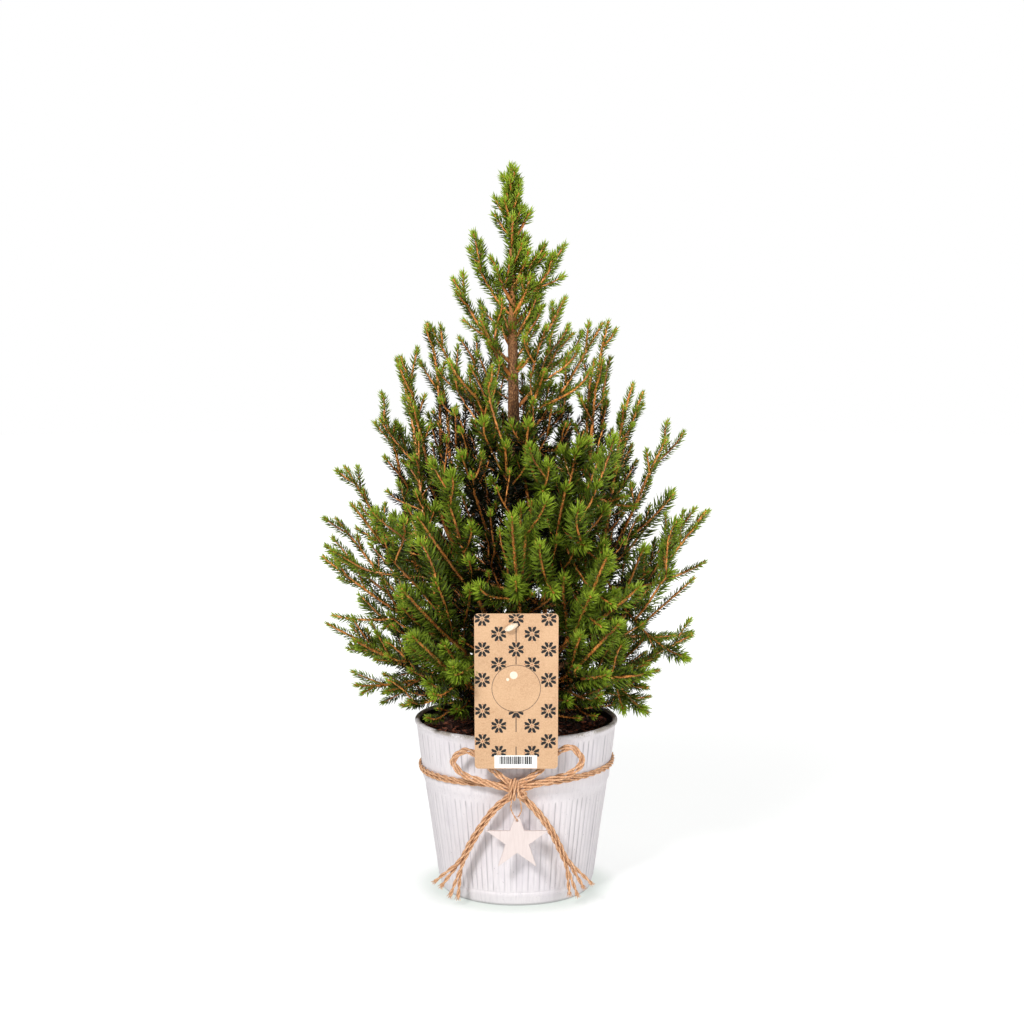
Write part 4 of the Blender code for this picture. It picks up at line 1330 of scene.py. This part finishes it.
left_loop = (
    (-0.003, -0.0935, 0.1145), (-0.019, -0.0945, 0.1265), (-0.032, -0.0950, 0.1400),
    (-0.044, -0.0935, 0.1440), (-0.0540, -0.0905, 0.1340), (-0.0470, -0.0905, 0.1240),
    (-0.030, -0.0925, 0.1175), (-0.003, -0.0935, 0.1100),
)
right_loop = (
    (0.001, -0.0935, 0.1145), (0.019, -0.0945, 0.1265), (0.033, -0.0950, 0.1420),
    (0.046, -0.0935, 0.1470), (0.0557, -0.0905, 0.1330), (0.0480, -0.0905, 0.1250),
    (0.030, -0.0925, 0.1190), (0.001, -0.0935, 0.1100),
)
for side, knots in (("left", left_loop), ("right", right_loop)):
    loop = path(knots)
    twine("twine_bow_" + side, [beside(loop, half_gap), beside(loop, -half_gap)], "bow_" + side)

left_middles = (
    (-0.0030, -0.0915, 0.1060), (-0.0170, -0.0915, 0.0945), (-0.0300, -0.0885, 0.0770),
    (-0.0395, -0.0830, 0.0600), (-0.0462, -0.0780, 0.0455),
)
left_ends = (
    (-0.0705, -0.0710, 0.0235), (-0.0650, -0.0700, 0.0190), (-0.0575, -0.0710, 0.0110),
    (-0.0508, -0.0705, 0.0090),
)
right_middles = (
    (0.0025, -0.0915, 0.1060), (0.0150, -0.0915, 0.0935), (0.0270, -0.0885, 0.0775),
    (0.0362, -0.0825, 0.0590), (0.0418, -0.0780, 0.0460),
)
right_ends = (
    (0.0650, -0.0705, 0.0215), (0.0583, -0.0700, 0.0178), (0.0530, -0.0710, 0.0112),
    (0.0462, -0.0705, 0.0120),
)
bristles_per_end = 15
strand_places = ((0.0017, 0.0), (0.0008, 0.0027), (-0.0017, 0.0), (-0.0008, 0.0027))


def tail(middles, ends, outer):
    """Four strands that hang close together, two over two, and part near their ends."""
    lines = []
    for (aside, behind), end in zip(strand_places, ends):
        knots = []
        for i, middle in enumerate(middles):
            ahead = Vector(middles[min(i + 1, len(middles) - 1)]) - Vector(middles[max(i - 1, 0)])
            across = ahead.cross(Vector((0, outer, 0))).normalized()
            knots.append(Vector(middle) + across * aside + Vector((0, behind, 0)))
        lines.append(path(knots + [Vector(end)]))
    return lines


def frayed(line):
    """Short bristles past a cut end."""
    tip, heading = line[-1], heading_at(line, len(line) - 1)
    side = heading.orthogonal().normalized()
    ends = []
    for i in range(bristles_per_end):
        turn = 2.4 * i
        spread = side * math.cos(turn) + heading.cross(side) * math.sin(turn)
        foot = tip + spread * 0.0005 * (i % 4) - heading * 0.002
        reach = 0.0036 + 0.0004 * (i % 5)
        middle = foot + heading * reach * 0.6 + spread * 0.0004
        ends.append([foot, middle, foot + heading * reach + spread * 0.0013])
    return ends


tails = {"left": tail(left_middles, left_ends, -1), "right": tail(right_middles, right_ends, 1)}
for side, lines in tails.items():
    name = "twine_tail_" + side
    twine(name, lines, "tail_" + side)
    frays = [(end, (0.00028, 0.00012), (0, 1), 1) for line in lines for end in frayed(line)]
    bristles = stems.cook("bristles", twig_mesh(frays), jute, Sides=4)
    keep(joined(name + "_ends", [bristles]), "jute", "tail_" + side)

knot_middle = Vector((-0.0006, -0.0933, 0.1105))


def wrap(x, half_depth, half_height, lean):
    """One upright turn of the knot."""
    ring = []
    for turn in turns(28):
        rise = half_height * math.sin(turn)
        ring.append(knot_middle + Vector((x + lean * rise, -half_depth * math.cos(turn), rise)))
    return ring


wraps = [
    wrap(-0.0044, 0.0044, 0.0076, 0.12),
    wrap(-0.0012, 0.0050, 0.0084, 0.05),
    wrap(0.0018, 0.0042, 0.0066, -0.10),
]
twine("twine_knot", wraps, "knot", closed=True, thickness=0.0034)
lump_middle = Vector((0.0052, -0.0972, 0.1072))
lump = []
for turn in turns(20):
    x, z = 0.0027 * math.cos(turn), 0.0026 * math.sin(turn)
    lump.append(lump_middle + Vector((x, -0.0012 * math.sin(2 * turn), z)))
twine("twine_lump", [lump], "knot", closed=True, thickness=0.0026)


# ----------------------------------------------------------
# The star: a flat five-pointed star cut from thin white-painted wood, with its top point
# rounded round a drilled hole. It hangs from the knot on a loop of thin twine.
# ----------------------------------------------------------
def cut_sheet(name, outline, hole, thickness, edge, middle, tilt, finish):
    """A flat outline with a hole, its edges rounded over, stood up on its place."""
    curve = bpy.data.curves.new(name, "CURVE")
    curve.dimensions = "2D"
    curve.fill_mode = "BOTH"
    curve.extrude = thickness / 2 - edge
    curve.bevel_depth = edge
    curve.bevel_resolution = 2
    curve.offset = -edge
    for points in (outline, hole):
        spline = curve.splines.new("POLY")
        spline.points.add(len(points) - 1)
        for knot, (x, y) in zip(spline.points, points):
            knot.co = (x, y, 0, 1)
        spline.use_cyclic_u = True
    drawn = placed(name, curve)
    bpy.context.view_layer.update()
    graph = bpy.context.evaluated_depsgraph_get()
    mesh = bpy.data.meshes.new_from_object(drawn.evaluated_get(graph))
    bpy.data.objects.remove(drawn)
    mesh.transform(Matrix.Translation(middle) @ Matrix.Rotation(math.pi / 2 + tilt, 4, "X"))
    shape = bmesh.new()
    shape.from_mesh(mesh)
    bmesh.ops.remove_doubles(shape, verts=shape.verts, dist=1e-6)
    bmesh.ops.recalc_face_normals(shape, faces=shape.faces[:])
    shape.to_mesh(mesh)
    shape.free()
    mesh.materials.clear()
    mesh.materials.append(finish.material)
    mesh.polygons.foreach_set("use_smooth", [False] * len(mesh.polygons))
    return placed(name, mesh)


def dot(x, rise, radius, sides=8):
    return [polar(radius, turn, (x, rise)) for turn in turns(sides)]


star_middle = Vector((0.0006, -0.0925, 0.0660))
star_radius, star_thickness, star_edge = 0.0278, 0.0028, 0.00035
star_hole_rise, star_hole, star_head = 0.0177, 0.0011, 0.0030
star_waist = star_radius * math.sin(math.radians(18)) / math.sin(math.radians(126))
head_turns = [math.radians(turn) for turn in range(0, 181, 20)]
star_shape = [polar(star_head, turn, (0, star_hole_rise)) for turn in head_turns]
star_shape += [polar(star_waist if corner % 2 else star_radius, math.radians(90 + 36 * corner))
               for corner in range(1, 10)]

paint = Finish("white painted wood", (0.92, 0.87, 0.86), 0.6)
wood_lines = paint.grain(0.0009, (1, 1, 14), 4.0)
paint_cloud = paint.grain(0.008, detail=2.0)
greyed = wood_lines.rises(0.35, 0.75) * 0.5 + paint_cloud * 0.25
paint.coats((0.87, 0.815, 0.80), (greyed, (0.81, 0.75, 0.73)))
paint.relief(wood_lines, 0.00012)
drilled = dot(0, star_hole_rise, star_hole, 14)
star = cut_sheet("wooden_star", star_shape, drilled, star_thickness, star_edge, star_middle, 0, paint)
keep(star, "white_wood", "star")

star_eye = star_middle + Vector((0, 0, star_hole_rise))
star_loop = path((
    (-0.0030, -0.0960, 0.1065), (-0.0046, -0.0972, 0.0945),
    star_eye + Vector((-0.0026, -0.0030, 0.0045)), star_eye + Vector((0, -0.0022, 0.0002)), star_eye,
    star_eye + Vector((0, 0.0022, 0.0002)), star_eye + Vector((0.0026, 0.0010, 0.0055)),
    (0.0042, -0.0965, 0.0945), (0.0020, -0.0960, 0.1065),
), 0.0015)
twine("twine_star_loop", [star_loop], "star_twine", thickness=0.0012, hair_gap=0.003)


# ----------------------------------------------------------
# The tag: a brown kraft card with rounded corners, printed with black folk stars, a hanging
# line and a ring, and with a white paper label near its foot. A paper tie holds it to a shoot.
# ----------------------------------------------------------
tag_middle = Vector((-0.0002, -0.1095, 0.1980))
tag_tilt = math.radians(6)
tag_wide, tag_high, card_thickness, card_edge = 0.070, 0.135, 0.0010, 0.0002
tag_corner, tag_slot_rise, tag_slot = 0.0035, 0.0580, 0.0026
tag_up = Vector((0, -math.sin(tag_tilt), math.cos(tag_tilt)))
tag_front = Vector((0, -math.cos(tag_tilt), -math.sin(tag_tilt)))

kraft = Finish("kraft card", (0.80, 0.64, 0.48), 0.8)
pulp = kraft.grain(0.0010, detail=4.0)
fibre = kraft.grain(0.0016, (5, 1, 1))
cloud = kraft.grain(0.020, detail=2.0)
kraft.coats(
    (0.75, 0.595, 0.45),
    (pulp.rises(0.30, 0.70), (0.815, 0.665, 0.525)),
    (fibre.rises(0.60, 0.78) * 0.5, (0.68, 0.50, 0.34)),
    (cloud.rises(0.40, 0.70) * 0.25, (0.87, 0.72, 0.57)),
)
kraft.relief(pulp, 0.00012)
tag_shape = []
for x, y, first in ((1, 1, 0), (-1, 1, 90), (-1, -1, 180), (1, -1, 270)):
    middle = x * (tag_wide / 2 - tag_corner), y * (tag_high / 2 - tag_corner)
    tag_shape += [polar(tag_corner, math.radians(first + 15 * i), middle) for i in range(7)]
punched = dot(0, tag_slot_rise, tag_slot, 20)
tag = cut_sheet("kraft_tag", tag_shape, punched, card_thickness, card_edge, tag_middle, tag_tilt, kraft)
keep(tag, "kraft_card", "tag")

ring_middle, ring_size, half_line = (-0.0001, 0.0030), 0.0203, 0.00022
ring_room = ring_size + 0.0004
side_margin, end_margin = 0.0004, 0.0003
print_sunk, print_lift = -0.00002, 0.00004
least_area = 2e-8


def on_card(x, rise, lift):
    return tag_middle + Vector((x, 0, 0)) + tag_up * rise + tag_front * (card_thickness / 2 + lift)


def trimmed(x, rise):
    """Print stops at the card's edges and outside the ring."""
    rise = max(min(rise, tag_high / 2 - end_margin), -tag_high / 2 + end_margin)
    x = max(min(x, tag_wide / 2 - side_margin), -tag_wide / 2 + side_margin)
    away = Vector((x - ring_middle[0], rise - ring_middle[1]))
    if away.length < ring_room:
        away = away.normalized() * ring_room
    return ring_middle[0] + away.x, ring_middle[1] + away.y


def inked(name, outlines, finish, slot="kraft_card", lift=print_lift, clip=False):
    """Thin raised shapes on the card's face."""
    points, faces = [], []
    for outline in outlines:
        placing = [trimmed(*p) if clip else p for p in outline]
        sides = zip(placing, placing[1:] + placing[:1])
        if sum(a[0] * b[1] - b[0] * a[1] for a, b in sides) / 2 < least_area:
            continue
        count = len(placing)
        rings = [[len(points) + i for i in range(start, start + count)] for start in (0, count)]
        points += [on_card(*p, height) for height in (print_sunk, lift) for p in placing]
        faces += closed_skin(rings)
    keep(new_piece(name, points, faces, [finish], smooth=False), slot)


def mottled(name, colour, roughness, size, dark, light, between=None, detail=3.0):
    """A finish that runs from one colour to the other in small patches."""
    finish = Finish(name, colour, roughness)
    patches = finish.grain(size, detail=detail)
    return finish.coats(dark, (patches.rises(*between) if between else patches, light))


def petal(x, rise, turn):
    """One slim pointed petal of a folk star."""
    outline = [(0.0014, 0.0), (0.0030, -0.00115), (0.0056, -0.0014)]
    outline += [(0.0070, 0.0002), (0.0063, 0.0012), (0.0031, 0.0011)]
    if math.sin(4 * turn) <= 0:
        outline = [(a, -b) for a, b in reversed(outline)]
    ahead, side = polar(1, turn), (-math.sin(turn), math.cos(turn))
    return [(x + a * ahead[0] + b * side[0], rise + a * ahead[1] + b * side[1]) for a, b in outline]


def bar(x, low, high, width):
    left, right = x - width / 2, x + width / 2
    return [(left, low), (right, low), (right, high), (left, high)]


columns = (-0.02836, -0.01466, -0.0002, 0.01308, 0.02694)
star_rows = (
    (0.06315, (0, 2, 4)), (0.05015, (1, 3)), (0.03680, (0, 2, 4)), (0.02380, (1, 3)), (0.01037, (0, 4)),
    (-0.01658, (0, 2, 4)), (-0.02958, (1, 3)), (-0.04310, (0, 4)), (-0.05339, (1, 3)),
)
petals, dots = [], []
for rise, places in star_rows:
    for x in [columns[column] for column in places]:
        petals += [petal(x, rise, math.radians(22.5 + 45 * i)) for i in range(8)]
        dots.append(dot(x, rise, 0.0006, 6))
        dots += [dot(*polar(0.0059, turn, (x, rise)), 0.0005, 6) for turn in turns(4)]
strokes = [bar(-0.0002, low, high, 0.0008) for low, high in
           ((0.0430, 0.0555), (0.0239, 0.0308), (-0.0350, -0.0180), (-0.0555, -0.0478))]
ring_turns = turns(72) + [2 * math.pi]
for a, b in zip(ring_turns, ring_turns[1:]):
    corners = ((-half_line, a), (half_line, a), (half_line, b), (-half_line, b))
    strokes.append([polar(ring_size + off, turn, ring_middle) for off, turn in corners])
glints = [dot(-0.0022, 0.0145, 0.0033, 20), dot(-0.0072, 0.0108, 0.0013, 14)]

ink = mottled("black ink", (0.10, 0.09, 0.085), 0.6, 0.0006,
              (0.055, 0.05, 0.05), (0.13, 0.11, 0.09), (0.55, 0.80), 2.0)
rust = mottled("red brown ink", (0.62, 0.34, 0.22), 0.6, 0.0006,
               (0.58, 0.30, 0.19), (0.68, 0.42, 0.28), (0.45, 0.75))
grey = mottled("thin grey ink", (0.30, 0.24, 0.19), 0.6, 0.0006,
               (0.24, 0.19, 0.15), (0.38, 0.31, 0.25))
pale = mottled("pale ink", (0.93, 0.85, 0.76), 0.6, 0.0015,
               (0.90, 0.81, 0.71), (0.96, 0.90, 0.83))
inked("print_petals", petals, ink, clip=True)
inked("print_dots", dots, rust, lift=0.00006, clip=True)
inked("print_lines", strokes, grey)
inked("print_glints", glints, pale)

label_low, label_high, label_left, label_right = -0.06690, -0.05560, -0.01836, 0.01752
label = bar((label_left + label_right) / 2, label_low, label_high, label_right - label_left)
paper = mottled("white paper", (0.97, 0.965, 0.96), 0.55, 0.0012,
                (0.985, 0.98, 0.975), (0.93, 0.925, 0.92))
inked("paper_label", [label], paper, "pale_paper", lift=0.00016)
bar_chance = np.random.default_rng(9)
bars, x = [], -0.0140
while x < 0.0132:
    width = float(bar_chance.choice([0.0004, 0.0006, 0.0009, 0.0012]))
    bars.append(bar(x + width / 2, -0.0634, -0.0566, width))
    x += width + float(bar_chance.choice([0.0003, 0.0004, 0.0006]))
inked("label_bars", bars, ink, "pale_paper", lift=0.00020)

cream = Finish("cream paper tie", (0.95, 0.88, 0.78), 0.5)
creases = cream.grain(0.0012)
cream.coats((0.97, 0.91, 0.83), (creases.rises(0.35, 0.7), (0.86, 0.76, 0.64)))
cream.relief(creases, 0.0003)
slot_middle = on_card(0, tag_slot_rise, -card_thickness / 2)
tie_knots = [
    slot_middle + Vector((-0.0092, 0, -0.0040)) + tag_front * 0.0026,
    slot_middle + Vector((-0.0070, 0, -0.0028)) + tag_front * 0.0032,
    slot_middle + Vector((-0.0030, 0, -0.0008)) + tag_front * 0.0032,
    slot_middle + tag_front * 0.0008,
    slot_middle - tag_front * 0.0020,
    max(spots_of("tag_tie"), key=lambda s: s.y),
]
tie_line = smooth_line(tie_knots, (0.0010, 0.0024, 0.0026, 0.0016, 0.0012, 0.0010), 0.0006)
tie = new_piece("paper_tie", *bark_tube(*tie_line, 14, 0.06, 5), [cream])
keep(tie, "pale_paper", "tag_tie")


# ----------------------------------------------------------
# The stand-in room: a plain pale floor and a white surround, soft light from the front
# and above, and a camera at table height in front of the plant.
# ----------------------------------------------------------
floor_shape = bmesh.new()
bmesh.ops.create_circle(floor_shape, cap_ends=True, segments=64, radius=9)
floor = placed("floor", mesh_of("floor", floor_shape))
floor_grey = (0.30, 0.31, 0.30, 1)
painted_foot_shadow, near_glow, far_glow = (0.50, 0.54, 0.51, 1), (0.76, 0.76, 0.76, 1), (1.1, 1.1, 1.1, 1)
floor_finish = Finish("pale floor", (0.58, 0.59, 0.58), 0.8, Emission_Strength=1.0)
floor_finish.feed("Base Color", floor_grey)
where = {0: floor_finish.place()}
away = floor_finish.add("ShaderNodeVectorMath", {"operation": "LENGTH"}, where)["Value"]
# painted shadow: the floor glows less round the pot's foot
glow_and_foot_shadow = floor_finish.mix(away.rises(0.068, 0.100), painted_foot_shadow, near_glow)
floor_finish.feed("Emission Color", floor_finish.mix(away.rises(0.35, 2.2), glow_and_foot_shadow, far_glow))
floor.data.materials.append(floor_finish.material)

room = bpy.data.worlds.new("white room")
room.use_nodes = True
sky = Nodes(room.node_tree)
backdrop = room.node_tree.nodes["Background"]
sky.put(backdrop, "Color", (1, 1, 1, 1))
sky.put(backdrop, "Strength", sky.add("ShaderNodeLightPath")["Is Camera Ray"] * 0.94 + 0.06)
bpy.context.scene.world = room
bpy.context.scene.view_settings.view_transform = "Standard"


def soft_light(name, place, aim_height, size, power):
    """A round lamp that points at the plant's axis."""
    lamp = bpy.data.lights.new(name, "AREA")
    lamp.shape = "DISK"
    lamp.size = size
    lamp.energy = power
    light = placed(name, lamp)
    light.location = place
    ahead = Vector((0, 0, aim_height)) - Vector(place)
    light.rotation_euler = ahead.to_track_quat("-Z", "Y").to_euler()


soft_light("key", (-0.80, -1.70, 1.50), 0.33, 0.42, 42)
soft_light("fill", (1.40, -1.30, 0.80), 0.30, 1.0, 16)
soft_light("top", (0.0, 0.3, 2.2), 0.35, 1.0, 12)
soft_light("back", (0.3, 1.9, 1.3), 0.35, 0.9, 12)

looking_down = 5.32
lens = bpy.data.cameras.new("camera")
lens.sensor_width = 36
lens.lens = 59.64
camera = placed("camera", lens)
camera.location = (-0.0038, -1.507, 0.479)
camera.rotation_euler = (math.radians(90 - looking_down), 0, 0)
bpy.context.scene.camera = camera
